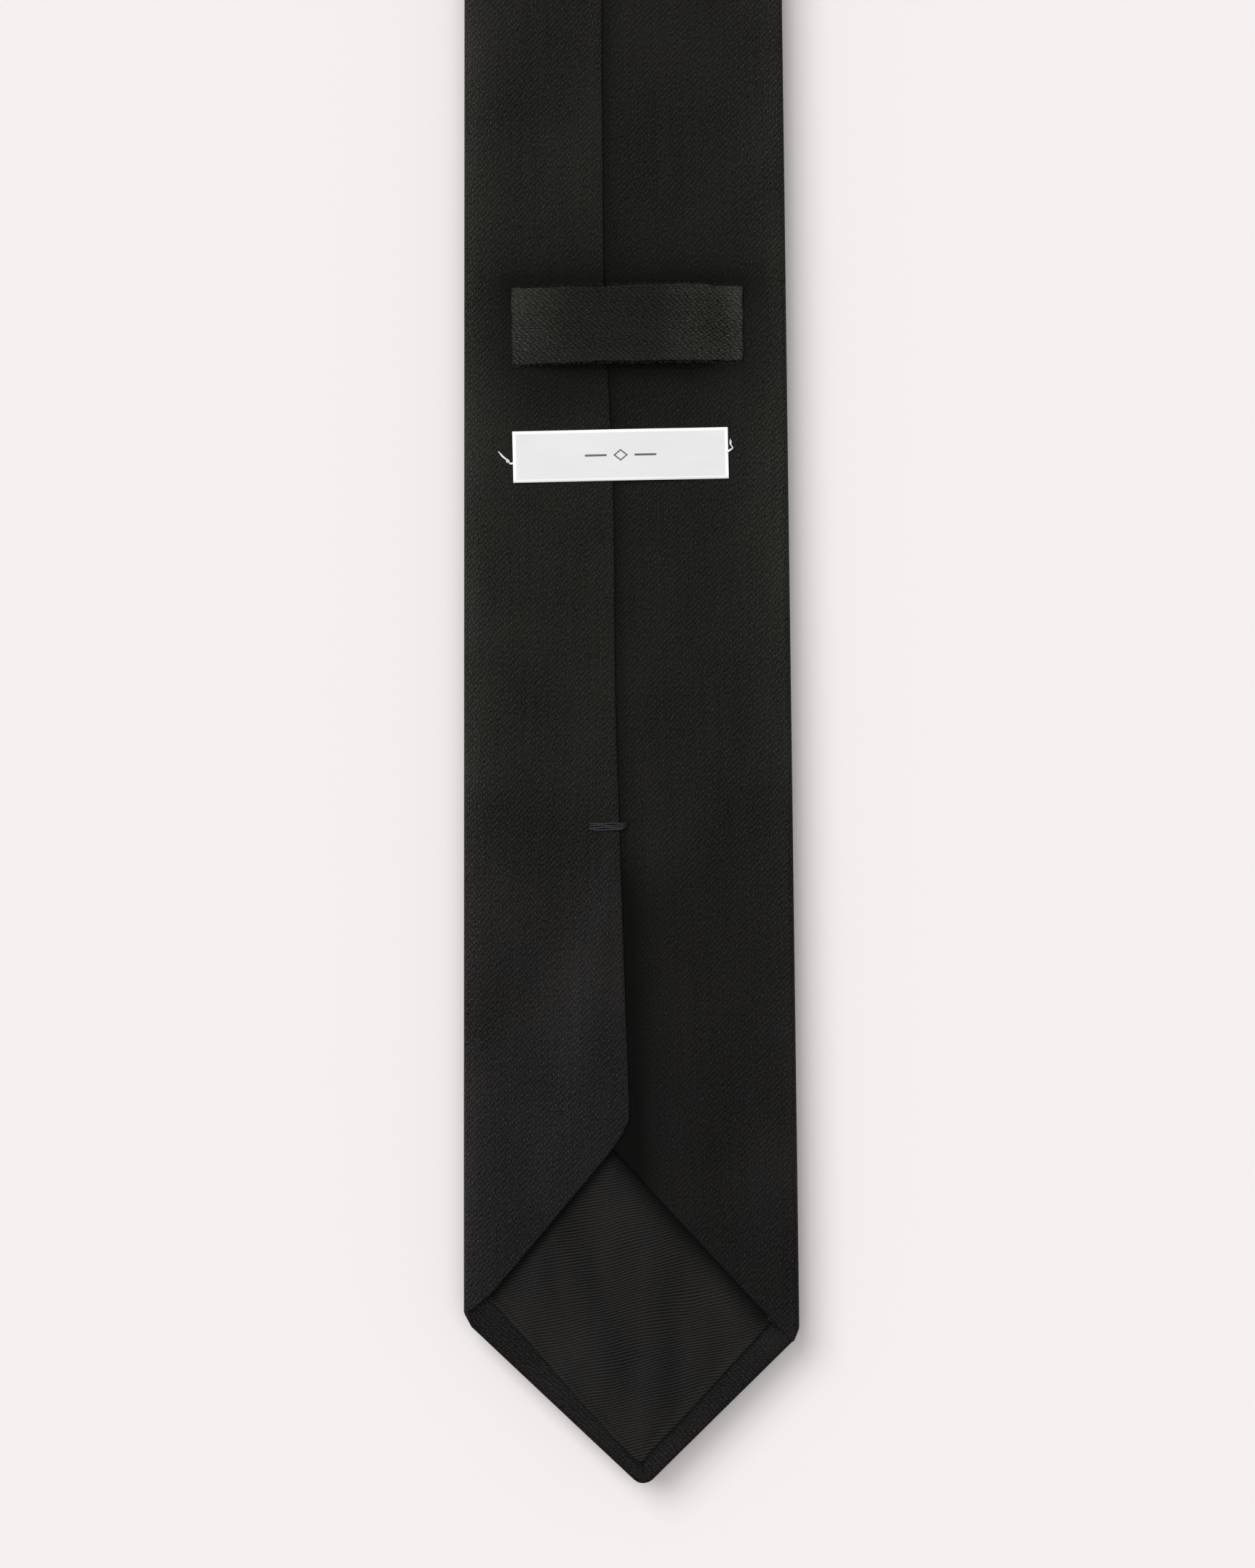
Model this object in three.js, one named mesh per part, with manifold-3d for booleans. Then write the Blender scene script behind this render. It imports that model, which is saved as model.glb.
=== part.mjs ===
// A necktie folded in three for a shelf, with the back of its wide blade facing up.
// Millimetres, +Z up. X runs across the tie and the blade's tip points along -Y.
// Each stretch is drawn as on the unfolded tie, front down, with y the distance along
// the cloth from the blade's tip. Groups then fold the stretches over each other.

import * as THREE from 'three';
import { mergeVertices } from 'three/addons/utils/BufferGeometryUtils.js';
import Module from 'manifold-3d';

const wasm = await Module();
wasm.setup();

// Cloths, and the gap left between two that touch
const clothThick = 0.4;
const tippingThick = 0.4;
const interliningThick = 0.8;
const touchGap = 0.3;
const threadThick = 0.4;

// Lengths along the unfolded tie, and where it is folded
const tieLength = 1480;
const tailFoldInset = 52; // second fold, in from the blade's tip
const tailShort = 33.6; // the tail's tip stops this far short of the first fold
const layerGap = 0.4; // between folded layers
const bladeSeamPast = 200; // blade cloth joined to neck cloth, past the first fold
const tailSeamPast = 35; // neck cloth joined to tail cloth, past the second fold
const seamGap = 1;

// Widths
const bladeWidth = 80;
const bladeMidWidth = 75.7;
const bladeMidAt = 355;
const taperWidth = 66;
const taperAt = 535;
const shoulderWidth = 38;
const shoulderAt = 800;
const neckWidth = 36;
const neckAt = 1000;
const tailWidth = 44;

// Pointed ends: how far each corner lies from the tip, and where each flap turns away
const bladeLeftCorner = 40.5;
const bladeRightCorner = 36.4;
const bladeTipOffset = 2.6;
const bladeLeftTurn = 87.8;
const bladeRightTurn = 80.7;
const tailCorner = 21;
const tailLeftTurn = 48;
const tailRightTurn = 44;
const hemWidth = 6;
const bladeTippingRun = 125;
const tailTippingRun = 70;

// Closing of the back
const flapOverlap = 12;
const seamDrift = 5.1; // how far left of the middle the fold of the left flap wanders
const bladeTackAt = 158;
const bladeTackLength = 9.2;
const bladeTackWidth = 2.2;
const bladeTackOffset = -4.7;
const tailTackRun = 75; // from the tail's tip
const tailTackLength = 7;
const stitchStart = 12; // slip stitch starts this far past a bar tack

// Keeper loop and label
const loopAt = 277.3;
const loopOffset = 0.5;
const loopSpan = 55;
const loopHeight = 18.2;
const loopBand = 0.8;
const loopClear = 4.6;
const loopTab = 2;
const loopFlank = 6.5; // horizontal run of each rising end
const loopTurn = 0.5; // degrees
const labelAt = 246.4;
const labelOffset = -1.3;
const labelLength = 51.3;
const labelHeight = 12.2;
const labelThick = 0.4;
const labelTurn = 0.9; // degrees
const labelTail = 3.4; // free end of the thread at each end of the label
const loopStitchRun = 13;

// Levels inside the flat tie, from its front face up
const interliningLevel = clothThick + touchGap;
const tippingLevel = interliningLevel + interliningThick + touchGap;
const rightFlapLevel = tippingLevel + tippingThick + touchGap;
const rightBack = rightFlapLevel + clothThick;
const leftFlapLevel = rightBack + touchGap;
const leftBack = leftFlapLevel + clothThick;
const tieThick = leftBack;

// Where the folds come, along the cloth and in the folded stack
const pitch = tieThick + layerGap;
const bendInside = layerGap / 2;
const bendOutside = bendInside + tieThick;
const bendRun = Math.PI * (bendInside + tieThick / 2);
const bladeRun = (tieLength - 2 * bendRun + 2 * tailFoldInset + tailShort) / 3;
const neckFrom = bladeRun + bendRun;
const neckTo = neckFrom + bladeRun - tailFoldInset;
const tailFrom = neckTo + bendRun;
const bladeSeamAt = neckFrom + bladeSeamPast;
const tailSeamAt = tailFrom + tailSeamPast;
const tipY = -(bladeRun + bendOutside) / 2;
const firstFoldY = tipY + bladeRun;
const tailFoldY = tipY + tailFoldInset;

const widthStations = [
  [bladeLeftCorner, bladeWidth],
  [bladeMidAt, bladeMidWidth],
  [taperAt, taperWidth],
  [shoulderAt, shoulderWidth],
  [neckAt, neckWidth],
  [tieLength - tailCorner, tailWidth],
];
const seamStations = [
  [bladeLeftTurn, 0],
  [bladeMidAt, -seamDrift],
  [taperAt, 0],
];
const breaks = [...widthStations, ...seamStations].map((station) => station[0]).sort((a, b) => a - b);

function between(stations, along) {
  const next = stations.findIndex((station) => station[0] >= along);
  if (next === 0) return stations[0][1];
  if (next < 0) return stations.at(-1)[1];
  const [nearAt, near] = stations[next - 1];
  const [farAt, far] = stations[next];
  return near + ((far - near) * (along - nearAt)) / (farAt - nearAt);
}

const halfWidth = (along) => between(widthStations, along) / 2;
const seam = (along) => between(seamStations, along);

const bladeEnd = {
  along: (run) => run,
  half: bladeWidth / 2,
  tip: bladeTipOffset,
  left: bladeLeftCorner,
  right: bladeRightCorner,
  leftTurn: bladeLeftTurn,
  rightTurn: bladeRightTurn,
  tippingRun: bladeTippingRun,
};
const tailEnd = {
  along: (run) => tieLength - run,
  half: tailWidth / 2,
  tip: 0,
  left: tailCorner,
  right: tailCorner,
  leftTurn: tailLeftTurn,
  rightTurn: tailRightTurn,
  tippingRun: tailTippingRun,
};

// A line along the tie, with a point wherever the outline or the seam changes direction.
function edge(xAt, from, to) {
  const inside = breaks.filter((at) => (at - from) * (at - to) < 0);
  if (to < from) inside.reverse();
  return [from, ...inside, to].map((along) => [xAt(along), along]);
}

// Left corner, tip and right corner of a pointed end, set in square from its edges.
function pointedEnd(end, inset) {
  const leftSlope = end.left / (end.half + end.tip);
  const rightSlope = end.right / (end.half - end.tip);
  const leftRise = inset * Math.hypot(1, leftSlope);
  const rightRise = inset * Math.hypot(1, rightSlope);
  const shift = (leftRise - rightRise) / (leftSlope + rightSlope);
  const x = end.half - inset;
  return [
    [-x, end.along(leftRise + leftSlope * (x + end.tip))],
    [end.tip + shift, end.along(leftRise - leftSlope * shift)],
    [x, end.along(rightRise + rightSlope * (x - end.tip))],
  ];
}

// The whole outline from a pointed end to a square cut across the tie.
function pointedOutline(end, inset, stop) {
  const [left, tip, right] = pointedEnd(end, inset);
  const rightEdge = edge((along) => halfWidth(along) - inset, right[1], stop);
  const leftEdge = edge((along) => inset - halfWidth(along), stop, left[1]);
  return [left, tip, ...rightEdge, ...leftEdge.slice(0, -1)];
}

function strip(leftAt, rightAt, from, to) {
  return [...edge(rightAt, from, to), ...edge(leftAt, to, from)];
}

function plate(outline, level, thick) {
  const shape = new THREE.Shape(outline.map(([x, y]) => new THREE.Vector2(x, y)));
  const geometry = new THREE.ExtrudeGeometry(shape, { depth: thick, bevelEnabled: false });
  return geometry.translate(0, 0, level);
}

function toSolid(geometry) {
  const bare = geometry.clone().deleteAttribute('normal').deleteAttribute('uv');
  const merged = mergeVertices(bare, 1e-4);
  return new wasm.Manifold(
    new wasm.Mesh({
      numProp: 3,
      vertProperties: new Float32Array(merged.attributes.position.array),
      triVerts: new Uint32Array(merged.index.array),
    }),
  );
}

function toGeometry(manifold) {
  const mesh = manifold.getMesh();
  const geometry = new THREE.BufferGeometry();
  geometry.setAttribute('position', new THREE.BufferAttribute(new Float32Array(mesh.vertProperties), 3));
  geometry.setIndex(new THREE.BufferAttribute(new Uint32Array(mesh.triVerts), 1));
  geometry.computeVertexNormals();
  return geometry;
}

function joined(geometries) {
  return geometries.map(toSolid).reduce((whole, piece) => whole.add(piece));
}

// The cloth tube between two square cuts: a front panel, a fold at each side, and two flaps
// that meet over the back, the left one on top.
function clothTube(from, to) {
  const left = (along) => -halfWidth(along);
  const hidden = (along) => seam(along) - flapOverlap;
  const leftInside = (along) => left(along) + clothThick;
  const rightInside = (along) => halfWidth(along) - clothThick;
  return joined([
    plate(strip(left, halfWidth, from, to), 0, clothThick),
    plate(strip(left, leftInside, from, to), 0, leftBack),
    plate(strip(rightInside, halfWidth, from, to), 0, rightBack),
    plate(strip(left, seam, from, to), leftFlapLevel, clothThick),
    plate(strip(hidden, halfWidth, from, to), rightFlapLevel, clothThick),
  ]);
}

// The same tube with a pointed end: the front panel is hemmed in along the point, and each
// flap's edge slants from the seam to its corner.
function pointedTube(end, stop) {
  const [left, tip, right] = pointedEnd(end, 0);
  const [leftWall, tipWall, rightWall] = pointedEnd(end, clothThick);
  const [leftHem, tipHem, rightHem] = pointedEnd(end, hemWidth);
  const sideLeft = (along) => -halfWidth(along);
  const wallLeft = (along) => clothThick - halfWidth(along);
  const wallRight = (along) => halfWidth(along) - clothThick;
  const hidden = (along) => seam(along) - flapOverlap;
  const leftTurn = end.along(end.leftTurn);
  const seamTurn = seam(leftTurn);
  const rightSlope = (end.rightTurn - end.right) / (end.half - seamTurn);
  const hiddenTurn = end.along(end.rightTurn + rightSlope * flapOverlap);
  const leftFlap = [
    left,
    ...edge(seam, leftTurn, stop),
    ...edge(sideLeft, stop, left[1]).slice(0, -1),
  ];
  const rightFlap = [
    right,
    ...edge(halfWidth, right[1], stop).slice(1),
    ...edge(hidden, stop, hiddenTurn),
  ];
  return joined([
    plate(pointedOutline(end, 0, stop), 0, clothThick),
    plate([left, tip, right, rightWall, tipWall, leftWall], 0, tippingLevel + tippingThick),
    plate([left, tip, right, rightHem, tipHem, leftHem], tippingLevel, tippingThick),
    plate(strip(sideLeft, wallLeft, left[1], stop), 0, leftBack),
    plate(strip(wallRight, halfWidth, right[1], stop), 0, rightBack),
    plate(leftFlap, leftFlapLevel, clothThick),
    plate(rightFlap, rightFlapLevel, clothThick),
  ]);
}

// A prism over everything to one side of a slanting seam across the tie.
function sideOfSeam(at, direction) {
  const reach = bladeWidth;
  const line = at + (direction * seamGap) / Math.SQRT2;
  const far = at + direction * tieLength;
  const outline = [[-reach, line - reach], [reach, line + reach], [reach, far], [-reach, far]];
  return toSolid(plate(outline, -touchGap, tieThick + 2 * touchGap));
}

// The thread that joins two cloths, lying in the gap of a slanting seam of the front panel.
function joiningStitch(at) {
  const x = halfWidth(at) - 2 * seamGap;
  const half = threadThick / Math.SQRT2;
  const outline = [[-x, at - x - half], [x, at + x - half], [x, at + x + half], [-x, at - x + half]];
  return plate(outline, 0, threadThick);
}

// The long thread that closes the back, inside the tube beside the right flap's hidden edge.
function slipStitch(from, to) {
  const right = (along) => seam(along) - flapOverlap - touchGap;
  const left = (along) => right(along) - threadThick;
  return plate(strip(left, right, from, to), rightFlapLevel, threadThick);
}

function interlining(from, to) {
  const inset = clothThick + touchGap;
  const right = (along) => halfWidth(along) - inset;
  return plate(strip((along) => -right(along), right, from, to), interliningLevel, interliningThick);
}

function pointedInterlining(end, stop) {
  return plate(pointedOutline(end, clothThick + touchGap, stop), interliningLevel, interliningThick);
}

// The lining that fills the window of a pointed end, meeting the hem edge to edge.
function tippingPiece(end) {
  const stop = end.along(end.tippingRun);
  const side = clothThick + touchGap;
  const [leftPoint, tip, rightPoint] = pointedEnd(end, hemWidth + touchGap);
  const widen = hemWidth + touchGap - side;
  const leftSlope = end.left / (end.half + end.tip);
  const rightSlope = end.right / (end.half - end.tip);
  const away = end.along(1) - end.along(0);
  const left = [leftPoint[0] - widen, leftPoint[1] + away * leftSlope * widen];
  const right = [rightPoint[0] + widen, rightPoint[1] + away * rightSlope * widen];
  const rightEdge = edge((along) => halfWidth(along) - side, right[1], stop);
  const leftEdge = edge((along) => side - halfWidth(along), stop, left[1]);
  return plate([tip, ...rightEdge, ...leftEdge], tippingLevel, tippingThick);
}

// A bar tack: a short padded bar of thread with round ends.
function barTack(length, width, height) {
  const shape = new THREE.Shape();
  const half = (length - width) / 2;
  shape.absarc(half, 0, width / 2, -Math.PI / 2, Math.PI / 2);
  shape.absarc(-half, 0, width / 2, Math.PI / 2, (3 * Math.PI) / 2);
  return new THREE.ExtrudeGeometry(shape, { depth: height, bevelEnabled: false, curveSegments: 8 });
}

// The keeper loop seen along the tie: flat tabs, rising ends and a level middle.
function keeperLoop() {
  const steps = 8;
  const rise = loopClear - touchGap;
  const level = loopSpan / 2 - loopTab - loopFlank;
  const shares = [...Array(steps + 1).keys()].map((step) => step / steps);
  const flank = shares.map((share) => ({
    x: -level - loopFlank * (1 - share),
    z: (rise * (1 - Math.cos(Math.PI * share))) / 2,
    slope: Math.atan2(rise * Math.PI * Math.sin(Math.PI * share), 2 * loopFlank),
  }));
  const half = [{ x: -loopSpan / 2, z: 0, slope: 0 }, ...flank];
  const under = half.map(({ x, z }) => [x, z]);
  const over = half.map(({ x, z, slope }) => [x - loopBand * Math.sin(slope), z + loopBand * Math.cos(slope)]);
  const mirrored = (points) => points.map(([x, z]) => [-x, z]);
  const outline = [...under, ...mirrored(under).reverse(), ...mirrored(over), ...over.reverse()];
  return plate(outline, -loopHeight / 2, loopHeight).rotateX(Math.PI / 2);
}

// Half a ring about a fold's axis, on the +Y side, running across the tie.
function bend(inside, outside, left, right) {
  const shape = new THREE.Shape();
  shape.absarc(0, 0, outside, -Math.PI / 2, Math.PI / 2, false);
  shape.absarc(0, 0, inside, Math.PI / 2, -Math.PI / 2, true);
  const geometry = new THREE.ExtrudeGeometry(shape, {
    depth: right - left,
    bevelEnabled: false,
    curveSegments: 14,
  });
  const across = new THREE.Matrix4().makeBasis(
    new THREE.Vector3(0, 1, 0),
    new THREE.Vector3(0, 0, 1),
    new THREE.Vector3(1, 0, 0),
  );
  return geometry.applyMatrix4(across).translate(left, 0, 0);
}

// The cloth tube going round a fold. radius turns a level in the tie into a distance from the axis.
function bentTube(half, seamX, radius) {
  const piece = (low, high, left, right) => {
    const [inside, outside] = [radius(low), radius(high)].sort((a, b) => a - b);
    return bend(inside, outside, left, right);
  };
  return joined([
    piece(0, clothThick, -half, half),
    piece(0, leftBack, -half, -half + clothThick),
    piece(0, rightBack, half - clothThick, half),
    piece(leftFlapLevel, leftBack, -half, seamX),
    piece(rightFlapLevel, rightBack, seamX - flapOverlap, half),
  ]);
}

function bentInterlining(half, radius) {
  const levels = [interliningLevel, interliningLevel + interliningThick];
  const [inside, outside] = levels.map(radius).sort((a, b) => a - b);
  const x = half - clothThick - touchGap;
  return bend(inside, outside, -x, x);
}

const satin = new THREE.MeshStandardMaterial({ color: 0x1e1e1d, roughness: 0.5, metalness: 0 });
const lining = new THREE.MeshStandardMaterial({ color: 0x22211c, roughness: 0.65, metalness: 0 });
const wool = new THREE.MeshStandardMaterial({ color: 0xd6cfbf, roughness: 0.95, metalness: 0 });
const labelSatin = new THREE.MeshStandardMaterial({ color: 0xe9e8e6, roughness: 0.55, metalness: 0 });
const darkThread = new THREE.MeshStandardMaterial({ color: 0x1a1518, roughness: 0.6, metalness: 0 });
const whiteThread = new THREE.MeshStandardMaterial({ color: 0xdedcd6, roughness: 0.6, metalness: 0 });

const tie = new THREE.Group();
const bladeLayer = new THREE.Group();
const neckLayer = new THREE.Group();
const tailLayer = new THREE.Group();
bladeLayer.position.set(0, tipY, 2 * pitch);
neckLayer.position.set(0, firstFoldY + neckFrom, pitch + tieThick);
neckLayer.rotation.x = Math.PI;
tailLayer.position.set(0, tailFoldY - tailFrom, 0);
tie.add(bladeLayer, neckLayer, tailLayer);

function add(parent, name, geometry, material) {
  const mesh = new THREE.Mesh(geometry, material);
  mesh.name = name;
  parent.add(mesh);
  return mesh;
}

// Blade: from the tip to the first fold, back up
const bladeStop = bladeRun - touchGap;
add(bladeLayer, 'blade_shell', toGeometry(pointedTube(bladeEnd, bladeStop)), satin);
add(bladeLayer, 'blade_interlining', pointedInterlining(bladeEnd, bladeStop), wool);
add(bladeLayer, 'blade_tipping', tippingPiece(bladeEnd), lining);
add(bladeLayer, 'blade_slip_stitch', slipStitch(bladeTackAt + stitchStart, bladeStop), darkThread);

const tackHeight = clothThick;
const bladeTack = barTack(bladeTackLength, bladeTackWidth, tackHeight);
const bladeTackMesh = add(bladeLayer, 'blade_bar_tack', bladeTack, darkThread);
bladeTackMesh.position.set(bladeTackOffset, bladeTackAt, leftBack + touchGap);

// Keeper loop, with the thread that holds each end down
const loopGroup = new THREE.Group();
loopGroup.position.set(loopOffset, loopAt, leftBack + touchGap);
loopGroup.rotation.z = THREE.MathUtils.degToRad(loopTurn);
bladeLayer.add(loopGroup);
add(loopGroup, 'keeper_loop', keeperLoop(), satin);
const loopThread = loopSpan / 2 + touchGap + threadThick / 2;
for (const [name, side, drop] of [['left', -1, 0], ['right', 1, leftBack - rightBack]]) {
  const stitch = new THREE.BoxGeometry(threadThick, loopStitchRun, threadThick);
  const mesh = add(loopGroup, `loop_stitch_${name}`, stitch, darkThread);
  mesh.position.set(side * loopThread, 0, threadThick / 2 - drop);
}

// Label, with the thread tail at each end
const labelGroup = new THREE.Group();
labelGroup.position.set(labelOffset, labelAt, leftBack + touchGap);
labelGroup.rotation.z = THREE.MathUtils.degToRad(labelTurn);
bladeLayer.add(labelGroup);
const labelPatch = new THREE.BoxGeometry(labelLength, labelHeight, labelThick).translate(0, 0, labelThick / 2);
add(labelGroup, 'label', labelPatch, labelSatin);
const labelThread = labelLength / 2 + touchGap + labelTail / 2;
for (const [name, side, drop] of [['left', -1, 0], ['right', 1, leftBack - rightBack]]) {
  const stitch = new THREE.BoxGeometry(labelTail, threadThick, threadThick);
  const mesh = add(labelGroup, `label_stitch_${name}`, stitch, whiteThread);
  mesh.position.set(side * labelThread, 0, threadThick / 2 - drop);
}

// First fold: the front of the cloth lies inside
const foldOneHalf = halfWidth(bladeRun);
const foldOneSeam = seam(bladeRun);
const frontInside = (level) => bendInside + level;
const frontFold = new THREE.Group();
frontFold.position.set(0, firstFoldY, 2 * pitch - layerGap / 2);
tie.add(frontFold);
add(frontFold, 'front_fold_shell', toGeometry(bentTube(foldOneHalf, foldOneSeam, frontInside)), satin);
add(frontFold, 'front_fold_interlining', bentInterlining(foldOneHalf, frontInside), wool);

// Neck: from the first fold to the second, front up under the blade
const neckStart = neckFrom + touchGap;
const neckStop = neckTo - touchGap;
const neckTube = clothTube(neckStart, neckStop);
const upperBlade = neckTube.intersect(sideOfSeam(bladeSeamAt, -1));
const neckCloth = neckTube.intersect(sideOfSeam(bladeSeamAt, 1));
add(neckLayer, 'blade_shell_upper', toGeometry(upperBlade), satin);
add(neckLayer, 'neck_shell', toGeometry(neckCloth), satin);
add(neckLayer, 'neck_interlining', interlining(neckStart, neckStop), wool);
add(neckLayer, 'blade_joining_stitch', joiningStitch(bladeSeamAt), darkThread);
add(neckLayer, 'neck_slip_stitch', slipStitch(neckStart, neckStop), darkThread);

// Second fold: the back of the cloth lies inside, and the bend faces -Y
const foldTwoHalf = halfWidth(neckTo);
const foldTwoSeam = seam(neckTo);
const backInside = (level) => bendOutside - level;
const tailFold = new THREE.Group();
tailFold.position.set(0, tailFoldY, pitch - layerGap / 2);
tailFold.rotation.x = Math.PI;
tie.add(tailFold);
add(tailFold, 'tail_fold_shell', toGeometry(bentTube(foldTwoHalf, foldTwoSeam, backInside)), satin);
add(tailFold, 'tail_fold_interlining', bentInterlining(foldTwoHalf, backInside), wool);

// Tail: from the second fold to the narrow tip, back up on the shelf
const tailStart = tailFrom + touchGap;
const tailTube = pointedTube(tailEnd, tailStart);
const lowerNeck = tailTube.intersect(sideOfSeam(tailSeamAt, -1));
const tailCloth = tailTube.intersect(sideOfSeam(tailSeamAt, 1));
const tailTackAt = tieLength - tailTackRun;
add(tailLayer, 'neck_shell_lower', toGeometry(lowerNeck), satin);
add(tailLayer, 'tail_shell', toGeometry(tailCloth), satin);
add(tailLayer, 'tail_interlining', pointedInterlining(tailEnd, tailStart), wool);
add(tailLayer, 'tail_tipping', tippingPiece(tailEnd), lining);
add(tailLayer, 'tail_joining_stitch', joiningStitch(tailSeamAt), darkThread);
add(tailLayer, 'tail_slip_stitch', slipStitch(tailStart, tailTackAt - stitchStart), darkThread);
const tailTack = barTack(tailTackLength, bladeTackWidth, tackHeight);
const tailTackMesh = add(tailLayer, 'tail_bar_tack', tailTack, darkThread);
const tailTackX = seam(tailTackAt) + touchGap + tailTackLength / 2;
tailTackMesh.position.set(tailTackX, tailTackAt, rightBack + touchGap);

export default tie;
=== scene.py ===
import bpy
import numpy as np
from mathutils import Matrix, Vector


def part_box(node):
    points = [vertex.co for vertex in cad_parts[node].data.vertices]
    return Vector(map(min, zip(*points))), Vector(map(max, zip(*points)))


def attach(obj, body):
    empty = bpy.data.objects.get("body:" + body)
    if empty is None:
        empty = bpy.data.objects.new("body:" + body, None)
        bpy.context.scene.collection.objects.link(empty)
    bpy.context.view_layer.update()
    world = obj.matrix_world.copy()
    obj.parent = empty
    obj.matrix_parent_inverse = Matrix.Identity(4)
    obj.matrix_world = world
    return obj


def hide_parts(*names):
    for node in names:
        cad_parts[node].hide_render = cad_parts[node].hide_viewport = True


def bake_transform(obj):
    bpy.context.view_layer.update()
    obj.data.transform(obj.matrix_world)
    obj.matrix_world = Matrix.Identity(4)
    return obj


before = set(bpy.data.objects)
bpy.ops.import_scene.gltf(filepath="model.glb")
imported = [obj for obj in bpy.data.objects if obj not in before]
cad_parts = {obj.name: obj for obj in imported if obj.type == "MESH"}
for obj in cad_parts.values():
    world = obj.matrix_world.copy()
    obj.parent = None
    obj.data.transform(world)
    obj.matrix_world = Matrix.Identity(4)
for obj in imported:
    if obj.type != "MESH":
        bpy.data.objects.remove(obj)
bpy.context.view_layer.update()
print("frame loaded")


# Places and sizes taken from the frame, in millimetres.
# Low and high corners of a node's box.
def nodeBox(name):
    low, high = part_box(name)
    return np.array(low) * 1000, np.array(high) * 1000


bladeLow, bladeHigh = nodeBox("blade_shell")
firstLow, firstHigh = nodeBox("front_fold_shell")
secondLow, secondHigh = nodeBox("tail_fold_shell")

tipY = bladeLow[1]
tieThick = bladeHigh[2] - bladeLow[2]
firstFoldY = firstLow[1]
firstFoldZ = (firstLow[2] + firstHigh[2]) / 2
secondFoldY = secondHigh[1]
secondFoldZ = (secondLow[2] + secondHigh[2]) / 2
bendInside = bladeLow[2] - firstFoldZ
bendOutside = bendInside + tieThick
bendRun = np.pi * (bendInside + tieThick / 2)
bladeRun = firstFoldY - tipY
neckFrom = bladeRun + bendRun
neckTo = neckFrom + firstFoldY - secondFoldY
tailFrom = neckTo + bendRun
tieLength = tailFrom + nodeBox("tail_shell")[1][1] - secondFoldY
bladeSeamAt = firstFoldY + neckFrom - sum(box[1] for box in nodeBox("blade_joining_stitch")) / 2
tackLow, tackHigh = nodeBox("blade_bar_tack")
tackX = (tackLow[0] + tackHigh[0]) / 2
tackAt = (tackLow[1] + tackHigh[1]) / 2 - tipY
loopLow, loopHigh = nodeBox("keeper_loop")
loopCentre = (loopLow + loopHigh) / 2
tailSeamAt = sum(box[1] for box in nodeBox("tail_joining_stitch")) / 2 - secondFoldY + tailFrom

tie = {
    "widthAt": [40.5, 355, 535, 800, 1000, 1459],
    "width": [80, 75.7, 66, 38, 36, 44],
    "seamAt": [0, 88, 131, 161, 187, 239, 287, 355, 535],
    "seamX": [0, 0, -1.4, -2.1, -2.9, -2.9, -5.0, -5.1, 0],
    "clothThick": 0.25,
    "overlap": 12,  # right flap's cut edge, past the seam
    "under": 8,  # left flap's cloth turned under at the seam
    "rightRoll": 1.45,  # radii of the rolled edges
    "leftRoll": 1.8,
    "seamRoll": 0.3,
    "hemLevel": 2.2,
    "hemClear": 0.6,  # hem below the flap that it edges
    "hemTuck": 0.9,  # hem in from the rolled edge
    "seamSlit": 0.2,  # between two joined cloths
    "seamEase": 12,  # each way, that the seam's line is averaged over
    "leanRun": 45,  # rows lean over to a slanting seam from this far
    "foldRows": 15,
}
bladeHalf = tie["width"][0] / 2
tailHalf = tie["width"][-1] / 2


# An S from nothing to one: 3 squares less 2 cubes.
def smooth(value):
    value = np.clip(value, 0, 1)
    return value * value * (3 - 2 * value)


# Straight from low to high as share goes from nothing to one.
def mix(low, high, share):
    return low + (high - low) * share


# Half the tie's width, straight between its stations.
def halfWidth(along):
    return np.interp(along, tie["widthAt"], tie["width"]) / 2


# The seam wanders: its stations joined by straight lines, then averaged along the tie.
def seamLine(along):
    offsets = np.linspace(-tie["seamEase"], tie["seamEase"], 7)
    tried = np.interp(np.asarray(along, float)[..., None] + offsets, tie["seamAt"], tie["seamX"])
    return tried.mean(-1)


# Turns (x, distance along the cloth, level above the front face) into a place in the folded stack.
# A fold is half a circle about its axis, with radius bendInside + level or bendOutside - level.
def place(x, along, level):
    first = np.clip((along - bladeRun) / bendRun, 0, 1) * np.pi
    second = np.clip((along - neckTo) / bendRun, 0, 1) * np.pi
    firstRadius = bendInside + level
    secondRadius = bendOutside - level
    before = np.minimum(along - bladeRun, 0) - np.maximum(along - neckFrom, 0)
    firstY = firstFoldY + firstRadius * np.sin(first) + before
    firstZ = firstFoldZ + firstRadius * np.cos(first)
    after = np.maximum(along - tailFrom, 0) + np.maximum(neckTo - along, 0)
    secondY = secondFoldY - secondRadius * np.sin(second) + after
    secondZ = secondFoldZ + secondRadius * np.cos(second)
    pastMiddle = along > (neckFrom + neckTo) / 2
    y = np.where(pastMiddle, secondY, firstY)
    z = np.where(pastMiddle, secondZ, firstZ)
    return np.stack(np.broadcast_arrays(x, y, z), -1)


wave = {
    "height": 0.14,
    "mean": 1.7,
    "long": [37, 21],  # one radian of the long wave, along the blade and across
    "slant": [17, 13],
    "slantShare": 0.7,
    "fadeTo": 30,  # before the first fold
    "fadeOver": 60,
}


# Falls from one to nothing on the last stretch before the first fold.
def beforeFold(along):
    return smooth((bladeRun - wave["fadeTo"] - along) / wave["fadeOver"])


# The blade isn't quite flat: slow waves lift it by up to half a millimetre and fade towards the fold.
def billow(x, along):
    longWave = np.sin(along / wave["long"][0] + 0.9) * np.cos(x / wave["long"][1] + 0.4)
    slantWave = wave["slantShare"] * np.sin(along / wave["slant"][0] - x / wave["slant"][1])
    return wave["height"] * (wave["mean"] + longWave + slantWave) * beforeFold(along)


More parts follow.
